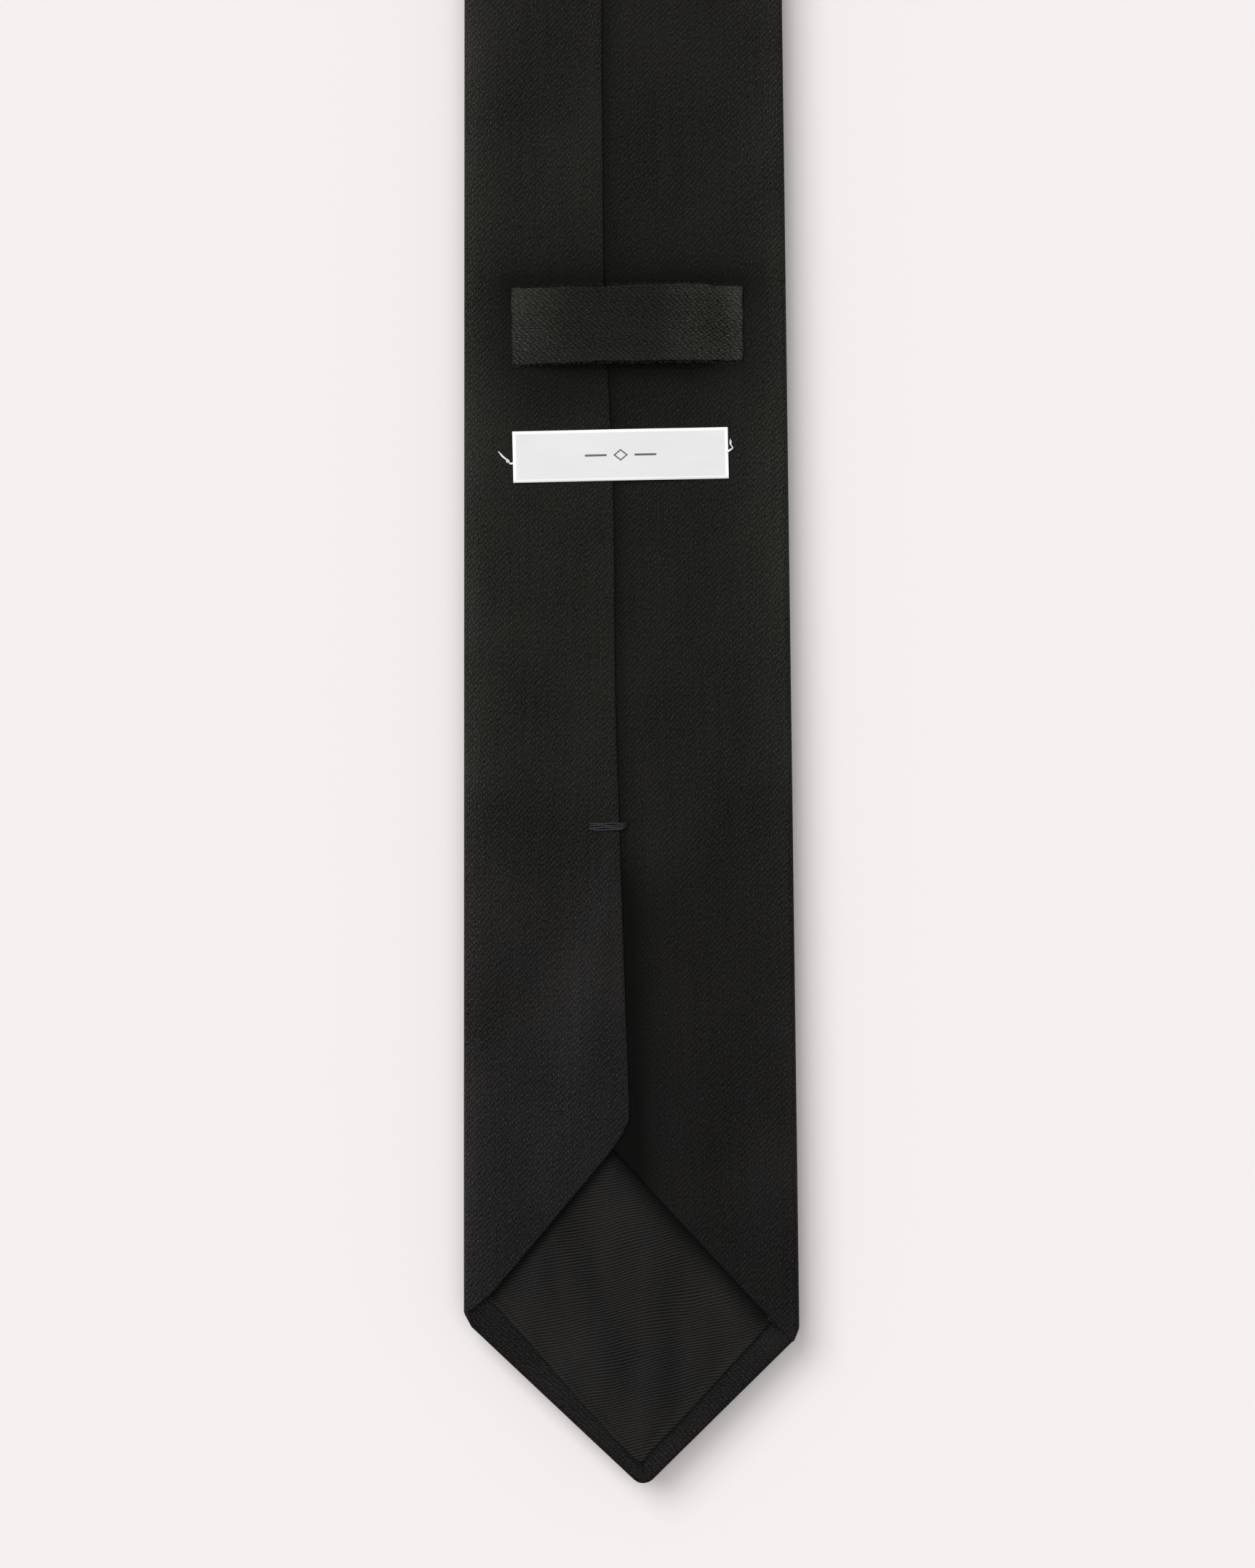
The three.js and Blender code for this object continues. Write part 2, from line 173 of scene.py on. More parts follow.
# The neck and the tail lie flat.
def flatLift(x, along):
    return 0 * (x + along)


# Meshes.
# Points in millimetres go into a mesh in metres. cloth holds each point's place on the cloth, and as a third
# value its painted shading: painted shade above nothing, painted highlight below.
def makePiece(name, points, faces, material, cloth):
    mesh = bpy.data.meshes.new(name)
    mesh.from_pydata((points.reshape(-1, 3) / 1000).tolist(), [], faces)
    mesh.polygons.foreach_set("use_smooth", np.ones(len(mesh.polygons), bool))
    spread = np.zeros((len(mesh.vertices), 3), np.float32)
    spread[:, :cloth.shape[-1]] = cloth.reshape(-1, cloth.shape[-1])
    layer = mesh.attributes.new("cloth", "FLOAT_VECTOR", "POINT")
    layer.data.foreach_set("vector", spread.ravel())
    mesh.materials.append(material)
    mesh.update()
    piece = bpy.data.objects.new(name, mesh)
    bpy.context.scene.collection.objects.link(piece)
    return piece


# Four-sided faces between the rows and columns of a grid.
def gridQuads(rows, columns, first=0):
    corner = first + np.arange(rows - 1)[:, None] * columns + np.arange(columns - 1)
    quads = np.stack([corner, corner + 1, corner + columns + 1, corner + columns], -1)
    return quads.reshape(-1, 4)


# Outward normals of a grid: the change across the columns crossed with the change down the rows.
def gridNormals(grid):
    down = np.gradient(grid, axis=0)
    across = np.gradient(grid, axis=1)
    normal = np.cross(across, down)
    return normal / np.maximum(np.linalg.norm(normal, axis=-1, keepdims=True), 1e-9)


# A sheet of cloth with real thickness: the grid, its copy one thickness inside, and a rim between them.
# Also gives its area in square metres, as half the cross product of each cell's diagonals.
def sheetPiece(name, grid, thick, cloth, material, sink=None):
    normal = gridNormals(grid)
    if sink is not None:
        grid = grid - normal * sink
    rows, columns = grid.shape[:2]
    inner = grid - normal * thick
    count = rows * columns
    index = np.arange(count).reshape(rows, columns)
    rim = np.concatenate([index[0], index[1:, -1], index[-1, -2::-1], index[-2:0:-1, 0]])
    after = np.roll(rim, -1)
    rimQuads = np.stack([rim, rim + count, after + count, after], -1)
    faces = np.concatenate([
        gridQuads(rows, columns),
        gridQuads(rows, columns, count)[:, ::-1],
        rimQuads,
    ])
    piece = makePiece(name, np.stack([grid, inner]), faces.tolist(), material, np.stack([cloth, cloth]))
    cell = np.cross(grid[1:, 1:] - grid[:-1, :-1], grid[1:, :-1] - grid[:-1, 1:])
    area = np.linalg.norm(cell, axis=-1).sum() / 2 / 1e6
    return piece, area


# Round threads along many paths at once. Each ring lies square to its path, and both ends are capped.
def strandPiece(name, paths, radius, material, sides=6, taper=0.45, paintedShading=0.0):
    count, steps = paths.shape[:2]
    tangent = np.gradient(paths, axis=1)
    tangent = tangent / np.maximum(np.linalg.norm(tangent, axis=-1, keepdims=True), 1e-9)
    side = np.cross(tangent, np.array([0.13, 0.21, 0.97]))
    side = side / np.maximum(np.linalg.norm(side, axis=-1, keepdims=True), 1e-9)
    other = np.cross(tangent, side)
    turn = np.linspace(0, 2 * np.pi, sides, endpoint=False)
    share = np.linspace(0, 1, steps)
    size = radius * mix(taper, 1, smooth(np.minimum(share, 1 - share) * 6))
    ring = side[:, :, None] * np.cos(turn)[:, None] + other[:, :, None] * np.sin(turn)[:, None]
    points = paths[:, :, None] + ring * size[None, :, None, None]
    start = (np.arange(count)[:, None] * steps + np.arange(steps - 1)) * sides
    here = np.arange(sides)
    there = np.roll(here, -1)
    corner = start[:, :, None]
    quads = np.stack([corner + here, corner + there, corner + sides + there, corner + sides + here], -1)
    firstRing = np.arange(count)[:, None] * steps * sides
    caps = (firstRing + here[::-1]).tolist() + (firstRing + (steps - 1) * sides + here).tolist()
    stride = np.linalg.norm(np.diff(paths, axis=1), axis=-1)
    run = np.concatenate([np.zeros((count, 1)), np.cumsum(stride, 1)], 1)
    # The third cloth value is the strand's painted shading; a negative one is a painted highlight.
    cloth = np.stack(np.broadcast_arrays(turn[None, None], run[:, :, None], paintedShading), -1)
    return makePiece(name, points, quads.reshape(-1, 4).tolist() + caps, material, cloth)


# Shader maths.
# A wire is the output of a node. Arithmetic on wires adds Math nodes.
class Wire:
    def __init__(self, paint, socket):
        self.paint = paint
        self.socket = socket

    def math(self, operation, *others):
        return self.paint.number(operation, self, *others)

    def __add__(self, other):
        return self.math("ADD", other)

    def __sub__(self, other):
        return self.math("SUBTRACT", other)

    def __rsub__(self, other):
        return self.paint.number("SUBTRACT", other, self)

    def __mul__(self, other):
        return self.math("MULTIPLY", other)

    def __truediv__(self, other):
        return self.math("DIVIDE", other)

    __radd__ = __add__
    __rmul__ = __mul__


# A paint is a material with one principled shader, fed by wires.
class Paint:
    def __init__(self, name, constants):
        self.material = bpy.data.materials.new(name)
        self.material.use_nodes = True
        self.tree = self.material.node_tree
        self.tree.nodes.clear()
        self.shader = self.node("ShaderNodeBsdfPrincipled", {}, constants)
        output = self.tree.nodes.new("ShaderNodeOutputMaterial")
        self.tree.links.new(self.shader.outputs[0], output.inputs["Surface"])

    def feed(self, socket, value):
        if isinstance(value, Wire):
            self.tree.links.new(value.socket, socket)
        else:
            socket.default_value = value

    def node(self, kind, settings, values):
        made = self.tree.nodes.new(kind)
        for key, value in settings.items():
            setattr(made, key, value)
        for key, value in values.items():
            self.feed(made.inputs[key], value)
        return made

    def number(self, operation, *values):
        made = self.node("ShaderNodeMath", {"operation": operation}, dict(enumerate(values)))
        return Wire(self, made.outputs[0])

    # Cloth coordinates in millimetres: across the warp, and along it. The third is painted shading: above
    # nothing it darkens the colour as painted shade, below nothing it lightens it as painted highlight.
    def clothPlace(self):
        spread = self.node("ShaderNodeAttribute", {"attribute_name": "cloth"}, {})
        parted = self.node("ShaderNodeSeparateXYZ", {}, {"Vector": Wire(self, spread.outputs["Vector"])})
        self.paintedShading = Wire(self, parted.outputs["Z"])
        return Wire(self, parted.outputs["X"]), Wire(self, parted.outputs["Y"])

    def noise(self, across, along, detail=2, height=0):
        joined = self.node("ShaderNodeCombineXYZ", {}, {"X": across, "Y": along, "Z": height})
        values = {"Vector": Wire(self, joined.outputs[0]), "Scale": 1, "Detail": detail}
        return Wire(self, self.node("ShaderNodeTexNoise", {}, values).outputs[0])

    # Climbs from nothing at low to one at high, and stays within them.
    def ranged(self, value, low, high):
        values = {"Value": value, "From Min": low, "From Max": high}
        return Wire(self, self.node("ShaderNodeMapRange", {}, values).outputs[0])

    def colours(self, low, high, share):
        made = self.node("ShaderNodeMix", {"data_type": "RGBA"}, {0: share})
        colourInputs = [socket for socket in made.inputs if socket.type == "RGBA"]
        for socket, value in zip(colourInputs, (low, high)):
            self.feed(socket, value if isinstance(value, Wire) else (*value, 1))
        return Wire(self, [socket for socket in made.outputs if socket.type == "RGBA"][0])

    def bump(self, height, strength, distance):
        values = {"Height": height, "Strength": strength, "Distance": distance}
        bumped = self.node("ShaderNodeBump", {}, values)
        self.feed(self.shader.inputs["Normal"], Wire(self, bumped.outputs[0]))

    def finish(self, colour, roughness):
        self.feed(self.shader.inputs["Base Color"], colour)
        self.feed(self.shader.inputs["Roughness"], roughness)
        return self.material


satinLook = {
    "pitch": 0.52,  # between warp floats
    "repeat": 1.3,  # length of one float and its dip
    "step": 0.4,  # each float starts this share of a repeat after its neighbour
    "dark": (0.0018, 0.0017, 0.0015),
    "warm": (0.0450, 0.0432, 0.0378),
    "olive": (0.0432, 0.0446, 0.0352),
    "violet": (0.0455, 0.0408, 0.0462),
    "sheenSide": (-30, -60),  # the violet cast, a painted sheen, grows to the left, and towards the tip
    "sheenRun": (165, 80),
    "sheenTip": (130, 45),
    "oliveAt": 248,  # the other cast is strongest round the keeper loop
    "oliveFade": (110, 45),
}


# Satin: long warp floats, each a bump the shape of half a sine both ways, stepped from column to column.
def satinPaint():
    paint = Paint("blackSatin", {
        "Specular IOR Level": 0.03,
        "Sheen Weight": 0.008,
        "Sheen Roughness": 0.45,
    })
    across, along = paint.clothPlace()
    wander = paint.noise(across * 0.7, along * 0.5) - 0.5
    column = (across + wander * 1.1) / satinLook["pitch"]
    row = along / satinLook["repeat"] + column.math("FLOOR") * satinLook["step"]
    ridge = (column.math("FRACT") * np.pi).math("SINE")
    floated = ((row + wander * 0.6).math("FRACT") * np.pi).math("SINE") * ridge
    grain = paint.noise(across * 2.4, along * 1.5, 3, 4.0)
    streak = paint.noise(across * 0.9, along * 0.03, 2, 9.0)
    cloud = paint.noise(across * 0.045, along * 0.03, 2, 2.0)
    weave = floated * (grain * 2.2 - 0.5)
    even = weave * 0.42 + (grain - 0.5) * 0.25 + (streak - 0.5) * 0.09 + (cloud - 0.5) * 0.24 + 0.088
    # Painted shading from the cloth's third value darkens the weave's share of light colour as painted shade,
    # or lightens it as painted highlight.
    shade = (even * (1 - paint.paintedShading)).math("MINIMUM", 1).math("MAXIMUM", 0)
    # A painted violet sheen on the lower left flap and towards the tip, with random patches of the cloth's
    # own tone.
    lowerLeftSheen = paint.ranged(along, *satinLook["sheenRun"]) * paint.ranged(across, *satinLook["sheenSide"])
    nearTip = paint.ranged(along, *satinLook["sheenTip"])
    patches = paint.ranged(paint.noise(across * 0.09, along * 0.06, 3, 6.0), 0.5, 0.66)
    violet = (lowerLeftSheen * 0.6 + nearTip * 0.4 + patches * 0.4).math("MINIMUM", 1)
    olive = paint.ranged((along - satinLook["oliveAt"]).math("ABSOLUTE"), *satinLook["oliveFade"])
    warm = paint.colours(satinLook["warm"], satinLook["olive"], olive)
    colour = paint.colours(satinLook["dark"], paint.colours(warm, satinLook["violet"], violet), shade)
    paint.bump(floated * 0.8 + grain * 0.5, 0.35, 0.00007)
    return paint.finish(colour, 0.56 - weave * 0.12 + (cloud - 0.5) * 0.1)


liningLook = {
    "rib": 0.72,
    "cross": 0.47,
    "rise": 0.21,  # the ribs climb this much for each millimetre to the right
    "dark": (0.0014, 0.0013, 0.0012),
    "light": (0.0286, 0.0275, 0.0245),
    "violet": (0.0268, 0.0243, 0.0262),
}


# Lining: fine ribs, a sine along the climbing direction, broken by a fainter sine across them.
def liningPaint():
    paint = Paint("ribbedLining", {"Specular IOR Level": 0.04, "Sheen Weight": 0.01})
    across, along = paint.clothPlace()
    drift = paint.noise(across * 0.06, along * 0.06, 1, 3.0) - 0.5
    ribPlace = along - across * liningLook["rise"] + drift * 3
    rib = (ribPlace * (2 * np.pi / liningLook["rib"])).math("SINE") * 0.5 + 0.5
    crossPlace = across + along * liningLook["rise"] + drift * 2
    cross = (crossPlace * (2 * np.pi / liningLook["cross"])).math("SINE") * 0.5 + 0.5
    grain = paint.noise(across * 1.5, along * 1.5, 2, 5.0)
    cloud = paint.noise(across * 0.07, along * 0.02, 2, 7.0)
    shade = rib * 0.42 + cross * rib * 0.22 + (grain - 0.5) * 0.35 + (cloud - 0.5) * 0.8 + 0.12
    patches = paint.ranged(paint.noise(across * 0.08, along * 0.05, 3, 1.0), 0.5, 0.62) * 0.6 + 0.1
    light = paint.colours(liningLook["light"], liningLook["violet"], patches)
    # Painted shading from the cloth's third value: painted shadow beside the flaps, painted highlight along
    # the border.
    shade = (shade * (1 - paint.paintedShading)).math("MINIMUM", 1).math("MAXIMUM", 0)
    colour = paint.colours(liningLook["dark"], light, shade)
    paint.bump(rib + cross * 0.35, 0.5, 0.0001)
    return paint.finish(colour, 0.62 - rib * 0.08)


woolLook = {
    "pitch": 0.9,
    "dark": (0.48, 0.43, 0.35),
    "light": (0.74, 0.70, 0.60),
}


# Wool interlining: a loose plain weave, a sine each way, with stray fibres.
def woolPaint():
    paint = Paint("woolCanvas", {"Specular IOR Level": 0.2, "Sheen Weight": 0.2})
    across, along = paint.clothPlace()
    warp = (across * (2 * np.pi / woolLook["pitch"])).math("SINE")
    weft = (along * (2 * np.pi / woolLook["pitch"])).math("SINE")
    fibre = paint.noise(across * 1.2, along * 1.2, 4)
    shade = warp * weft * 0.3 + fibre * 0.8
    colour = paint.colours(woolLook["dark"], woolLook["light"], shade)
    paint.bump(warp * weft + fibre, 0.5, 0.0002)
    return paint.finish(colour, 0.92)


labelLook = {
    "rib": 0.3,
    "pick": 0.37,
    "selvedge": (5.3, 5.6),  # where it starts above and below the middle
    "turnedEnd": (24.7, 25.1),  # and left and right of it
    "lozenge": 1.5,  # half its height
    "lineFrom": 3.2,
    "lineTo": 8.6,
    "lineHalf": 0.22,
    "edge": (0.93, 0.93, 0.94),  # the woven selvedge
    "white": (0.755, 0.75, 0.76),
    "shade": (0.64, 0.635, 0.645),
    "ink": (0.03, 0.025, 0.022),
}


# Label: white damask with fine ribs, and a plain woven lozenge between two short lines.
def labelPaint():
    paint = Paint("labelSatin", {"Specular IOR Level": 0.3, "Sheen Weight": 0.05})
    across, along = paint.clothPlace()
    rib = (along * (2 * np.pi / labelLook["rib"])).math("SINE") * 0.5 + 0.5
    pick = (across * (2 * np.pi / labelLook["pick"])).math("SINE") * 0.5 + 0.5
    cloud = paint.noise(across * 0.09, along * 0.2, 2)
    shade = 0.55 + rib * pick * 0.3 + (cloud - 0.5) * 0.5
    ground = paint.colours(labelLook["shade"], labelLook["white"], shade)
    reach = across.math("ABSOLUTE")
    height = along.math("ABSOLUTE")
    turnedEnd = paint.ranged(reach, *labelLook["turnedEnd"])
    selvedge = paint.ranged(height, *labelLook["selvedge"]).math("MAXIMUM", turnedEnd)
    ground = paint.colours(ground, labelLook["edge"], selvedge)
    diamond = reach * 0.8 + height
    ring = (diamond - labelLook["lozenge"] * 0.8).math("ABSOLUTE")
    lozenge = paint.ranged(ring, 0.26, 0.16)
    halfLine = (labelLook["lineTo"] - labelLook["lineFrom"]) / 2
    middle = (reach - labelLook["lineFrom"] - halfLine).math("ABSOLUTE")
    inLine = paint.ranged(middle, halfLine, halfLine - 0.2)
    line = paint.ranged(height, labelLook["lineHalf"] + 0.06, labelLook["lineHalf"]) * inLine
    inked = lozenge.math("MAXIMUM", line) * (0.75 + rib * 0.25)
    colour = paint.colours(ground, labelLook["ink"], inked)
    paint.bump(rib + pick * 0.5 + inked, 0.3, 0.00005)
    return paint.finish(colour, 0.55 + inked * 0.1)


threadPitch = 0.9


# Thread: two plies, a sine that winds round the strand as it runs along.
def threadPaint(name, dark, light):
    paint = Paint(name, {"Specular IOR Level": 0.35})
    turn, run = paint.clothPlace()
    ply = (turn * 2 + run * (2 * np.pi / threadPitch)).math("SINE") * 0.5 + 0.5
    fibre = paint.noise(turn * 1.5, run * 4, 2)
    colour = paint.colours(dark, light, ply * 0.6 + fibre * 0.4)
    paint.bump(ply + fibre * 0.5, 0.6, 0.00008)
    return paint.finish(colour, 0.5 + fibre * 0.2)


satin = satinPaint()
lining = liningPaint()
wool = woolPaint()
labelSatin = labelPaint()
darkThread = threadPaint("darkThread", (0.004, 0.0035, 0.005), (0.016, 0.013, 0.018))
whiteThread = threadPaint("whiteThread", (0.66, 0.67, 0.70), (0.93, 0.94, 0.96))
print("materials made")


# Where a point of the flat cloth lies in the cross-section. reach is measured from the middle of the
# front panel, to the right as positive: front panel, half circle, flap, and on the left the seam's own
# small half circle and the cloth turned under. Also gives where a hem lies at that reach.
def section(reach, half, seamX):
    rightFlat = half - tie["rightRoll"]
    leftFlat = half - tie["leftRoll"]
    rightTurn = np.clip((reach - rightFlat) / tie["rightRoll"], 0, np.pi)
    leftTurn = np.clip((-reach - leftFlat) / tie["leftRoll"], 0, np.pi)
    rightRest = np.maximum(reach - rightFlat - np.pi * tie["rightRoll"], 0)
    leftRest = np.maximum(-reach - leftFlat - np.pi * tie["leftRoll"], 0)
    flapRun = seamX - tie["seamRoll"] + leftFlat
    seamTurn = np.clip((leftRest - flapRun) / tie["seamRoll"], 0, np.pi)
    underRun = np.maximum(leftRest - flapRun - np.pi * tie["seamRoll"], 0)
    leftOut = np.minimum(leftRest, flapRun) + tie["seamRoll"] * np.sin(seamTurn) - underRun
    bulge = tie["rightRoll"] * np.sin(rightTurn) - tie["leftRoll"] * np.sin(leftTurn)
    x = np.clip(reach, -leftFlat, rightFlat) + bulge - rightRest + leftOut
    rightLift = (1 - np.cos(rightTurn)) / 2
    leftLift = (1 - np.cos(leftTurn)) / 2
    level = 2 * tie["rightRoll"] * rightLift + 2 * tie["leftRoll"] * leftLift
    level = level - tie["seamRoll"] * (1 - np.cos(seamTurn))
    hemX = x - tie["hemTuck"] * (np.sin(rightTurn) - np.sin(leftTurn))
    hemUp = 2 * tie["rightRoll"] - tie["hemClear"] - tie["hemLevel"]
    hemLevel = tie["hemLevel"] + hemUp * rightLift
    hemLevel = hemLevel + (tieThick - tie["hemClear"] - tie["hemLevel"]) * leftLift
    return x, level, hemX, hemLevel


# Reach of the places where the cross-section changes, from the right flap's cut edge to the end of the
# cloth turned under.
def sectionStops(half, seamX):
    rightFlat = half - tie["rightRoll"]
    leftFlat = half - tie["leftRoll"]
    rightUp = rightFlat + np.pi * tie["rightRoll"]
    leftUp = -leftFlat - np.pi * tie["leftRoll"]
    seamTop = leftUp - (seamX - tie["seamRoll"] + leftFlat)
    seamUnder = seamTop - np.pi * tie["seamRoll"]
    hidden = rightUp + rightFlat - seamX + tie["overlap"]
    return np.stack(np.broadcast_arrays(
        hidden, rightUp, rightFlat, -leftFlat, leftUp, seamTop, seamUnder, seamUnder - tie["under"],
    ), -1)


columnCount = {"rightFlap": 30, "roll": 11, "front": 40, "leftFlap": 32, "seam": 6, "under": 5}
closeColumns = {"tip": 23, "tipShare": 0.075, "seam": 10, "seamShare": 0.11}
seamStretch = 5  # the stretches from this one on are at the seam and under it


# Columns of the cloth grid, as (stretch of the section, share of that stretch), closer together near
# the rolls, the tip and the seam.
def clothColumns(tipX, half):
    even = {name: np.linspace(0, 1, count) for name, count in columnCount.items()}
    tipShare = 0.5 - tipX / (2 * half - tie["rightRoll"] - tie["leftRoll"])
    nearTip = tipShare + np.linspace(-1, 1, closeColumns["tip"]) * closeColumns["tipShare"]
    nearSeam = 1 - np.linspace(0, closeColumns["seamShare"], closeColumns["seam"])
    front = np.unique(np.round(np.concatenate([even["front"], nearTip]), 4))
    leftFlap = np.unique(np.round(np.concatenate([even["leftFlap"], nearSeam]), 4))
    stretches = [even["rightFlap"], even["roll"], front, even["roll"], leftFlap, even["seam"], even["under"]]
    stretch = np.concatenate([np.full(len(shares) - 1, number) for number, shares in enumerate(stretches)])
    share = np.concatenate([shares[:-1] for shares in stretches])
    return np.append(stretch, len(stretches) - 1), np.append(share, 1.0)


# Reach of every column at each of the places along the tie.
def reachAt(along, columns):
    stretch, share = columns
    stops = sectionStops(halfWidth(along), seamLine(along))
    picked = np.arange(len(stretch))
    return mix(stops[:, picked, stretch], stops[:, picked, stretch + 1], share)


bladeEnd = {
    "tipX": 2.6,
    "tipRound": 3.3,
    "leftSlope": 0.951,  # climb of each edge of the point for a millimetre across
    "rightSlope": 0.973,
    "leftBulge": 1.2,  # the corner's roll starts this much higher than its neighbours
    "rightBulge": 3.0,
    "rightFlapX": [38.55, -3.9, -12],  # where the right flap's slanting edge runs
    "rightFlapAlong": [34.6, 80.8, 89.8],
    "leftFlapX": [-38.2, -32.9, -4.8, -1.4, 0],  # and the left flap's
    "leftFlapAlong": [43.0, 47.4, 80.5, 85.0, 89.0],
    "leftHem": [3.9, 8.0],  # width of hem that shows near the tip, and at the corner
    "rightHem": [5.2, 7.3],
    "hemHidden": 1.1,  # and this much more lies under the lining
    "edgeRoll": 1.0,
    "straightFrom": 132,
    "hemRows": 6,
    "edgeRows": 9,
    "risingRows": 33,
}
tailEnd = {
    **bladeEnd,
    "tipX": 0,
    "tipRound": 3,
    "leftSlope": 0.955,
    "rightSlope": 0.955,
    "leftBulge": 1.0,
    "rightBulge": 1.8,
    "rightFlapX": [20.55, -3.5, -12],
    "rightFlapAlong": [19.8, 44.3, 53.0],
    "leftFlapX": [-20.2, -16, -4, -1.2, 0],
    "leftFlapAlong": [21.5, 25.2, 42.0, 46.2, 49.5],
    "leftHem": [3.2, 5.6],
    "rightHem": [3.8, 5.4],
    "straightFrom": 74,
}


# Distance from the tip to the edge of the point: straight arms that meet in an arc.
def pointEdge(end, x):
    away = x - end["tipX"]
    slope = np.where(away < 0, end["leftSlope"], end["rightSlope"])
    radius = end["tipRound"]
    touch = radius * slope / np.hypot(1, slope)
    inside = np.minimum(np.abs(away), touch)
    arc = radius * np.hypot(1, slope) - np.sqrt(radius**2 - inside**2)
    return arc + slope * np.maximum(np.abs(away) - touch, 0)


# The slanting edge of a flap: straight stretches between its points, averaged over 2 mm.
def flapEdge(x, pointX, pointAlong):
    order = np.argsort(pointX)
    tried = x[..., None] + np.linspace(-1, 1, 5)
    known = np.interp(tried, np.array(pointX)[order], np.array(pointAlong)[order])
    return known.mean(-1)


# The whole cut edge of the pointed end, for each reach of the flat cloth.
def endOutline(end, reach, half):
    x = section(reach, half, 0.0)[0]
    stops = sectionStops(half, 0.0)
    rightFlat, leftFlat = stops[2], -stops[3]
    front = pointEdge(end, np.clip(reach, -leftFlat, rightFlat))
    rightShare = np.clip((reach - stops[2]) / (stops[1] - stops[2]), 0, 1)
    rightRoll = mix(pointEdge(end, rightFlat), end["rightFlapAlong"][0], rightShare)
    rightRoll = rightRoll + end["rightBulge"] * np.sin(np.pi * rightShare)
    leftShare = np.clip((stops[3] - reach) / (stops[3] - stops[4]), 0, 1)
    leftRoll = mix(pointEdge(end, -leftFlat), end["leftFlapAlong"][0], leftShare)
    leftRoll = leftRoll + end["leftBulge"] * np.sin(np.pi * leftShare)
    rightFlap = flapEdge(x, end["rightFlapX"], end["rightFlapAlong"])
    under = np.maximum(stops[5] - reach, 0)
    leftFlap = flapEdge(x, end["leftFlapX"], end["leftFlapAlong"]) + 1.1 * under
    zones = [reach >= stops[1], reach > stops[2], reach >= stops[3], reach > stops[4]]
    return np.select(zones, [rightFlap, rightRoll, front, leftRoll], leftFlap)


# Width of hem that shows at each side of the tip, square to the edge.
def hemShown(end, away, half):
    far = smooth(np.abs(away) / half)
    right = smooth((away + 2.5) / 5)
    return mix(mix(*end["leftHem"], far), mix(*end["rightHem"], far), right)


# Rows of a pointed end: the hem from its inner edge out, half a turn round the edge, and the cloth from
# the edge up to where its rows run straight across. Gives distance from the tip, and how far each point is
# from the hem's section (0) to the cloth's own (1). Also where it lies on the unfolded cloth, and how far
# it is from the lining's border.
def pointedRows(end, columns, half):
    stretch, share = columns
    stops = sectionStops(half, 0.0)
    reach = mix(stops[stretch], stops[stretch + 1], share)
    edge = endOutline(end, reach, half)
    slope = np.clip(np.gradient(edge, reach), -2, 2)
    inReach, inAlong = -slope / np.hypot(1, slope), 1 / np.hypot(1, slope)
    onFront = smooth(1 - np.abs(reach - (stops[2] + stops[3]) / 2) / (half + 3)) > 0
    frontness = smooth((half + 2 - np.abs(reach)) / 3)
    roll = mix(tie["hemClear"] / 2, end["edgeRoll"], frontness)
    away = reach - end["tipX"]
    limit = np.maximum(np.abs(away) / np.maximum(np.abs(inReach), 1e-6), end["tipRound"] * 0.9)
    wide = hemShown(end, away, half) + end["hemHidden"]
    depth = np.where(onFront, np.minimum(wide, limit), wide)
    depth = np.where(stretch >= seamStretch, tie["hemClear"], depth)
    narrowing = mix(depth, tie["hemClear"], smooth(share * 5 - 4))
    depth = np.where(stretch == seamStretch - 1, narrowing, depth)
    hemShares = np.linspace(1, 0, end["hemRows"] + 1)[:-1, None]
    hemInset = roll + (np.maximum(depth, roll + 0.05) - roll) * hemShares
    turns = np.linspace(0, np.pi, end["edgeRows"])[:, None]
    turnInset = roll * (1 - np.sin(turns))
    up = np.linspace(0, 1, end["risingRows"] + 1)[1:, None] ** 1.5
    inset = np.concatenate([hemInset, turnInset])
    onHem = np.concatenate([np.zeros((end["hemRows"], 1)), (1 - np.cos(turns)) / 2, np.ones((len(up), 1))])
    wrapAlong = edge + inset * inAlong
    risenAlong = mix(wrapAlong[-1], end["straightFrom"], up)
    risenReach = roll * inReach * (1 - up) ** 2
    along = np.concatenate([wrapAlong, risenAlong])
    shift = np.concatenate([inset * inReach, risenReach])
    out = np.concatenate([(np.pi - 1) * roll + hemInset, roll * (np.pi - turns)])
    unrolled = np.stack([reach + (roll - out) * inReach, edge + (roll - out) * inAlong], -1)
    margin = wide - end["hemHidden"] - inset
    return along, shift, onHem * np.ones(len(reach)), reach, unrolled, margin


# Stations that a tube's rows stand at: about every 3 mm, and close together round a fold.
def rowStations(start, stop, spacing=3.2):
    stations = np.linspace(start, stop, int(abs(stop - start) / spacing) + 2)
    for fold in (bladeRun, neckTo):
        if start < fold < stop:
            keep = (stations < fold - 1) | (stations > fold + bendRun + 1)
            stations = np.concatenate([stations[keep], np.linspace(fold, fold + bendRun, tie["foldRows"])])
    return np.sort(stations)


# Leans the rows over to a slanting seam: a row at the seam climbs one millimetre for each across.
def leaned(stations, seams, x):
    lean = sum(smooth(1 - np.abs(stations - at) / tie["leanRun"]) for at in seams)
    return stations[:, None] + lean[:, None] * x


groove = {
    "deep": 0.4,
    "under": 0.08,  # depth where the cloth is turned under
    "half": 0.9,
    "rows": np.array([0.3, 0.6, 0.9, 1.3]),  # rows of cloth beside it
}


# How far the cloth sinks into the groove of a slanting seam. The cloth turned under hardly moves.
def seamSink(along, x, seams, columns):
    nearest = np.min([np.abs(along - at - x) for at in seams], axis=0)
    deep = np.where(columns[0] < seamStretch, groove["deep"], groove["under"])
    return (deep * smooth(1 - nearest / groove["half"]))[..., None]


# x of every column on a row straight across the tie.
def straightRow(at, columns):
    return section(reachAt(np.full((1, len(columns[0])), at), columns), halfWidth(at), 0.0)[0]
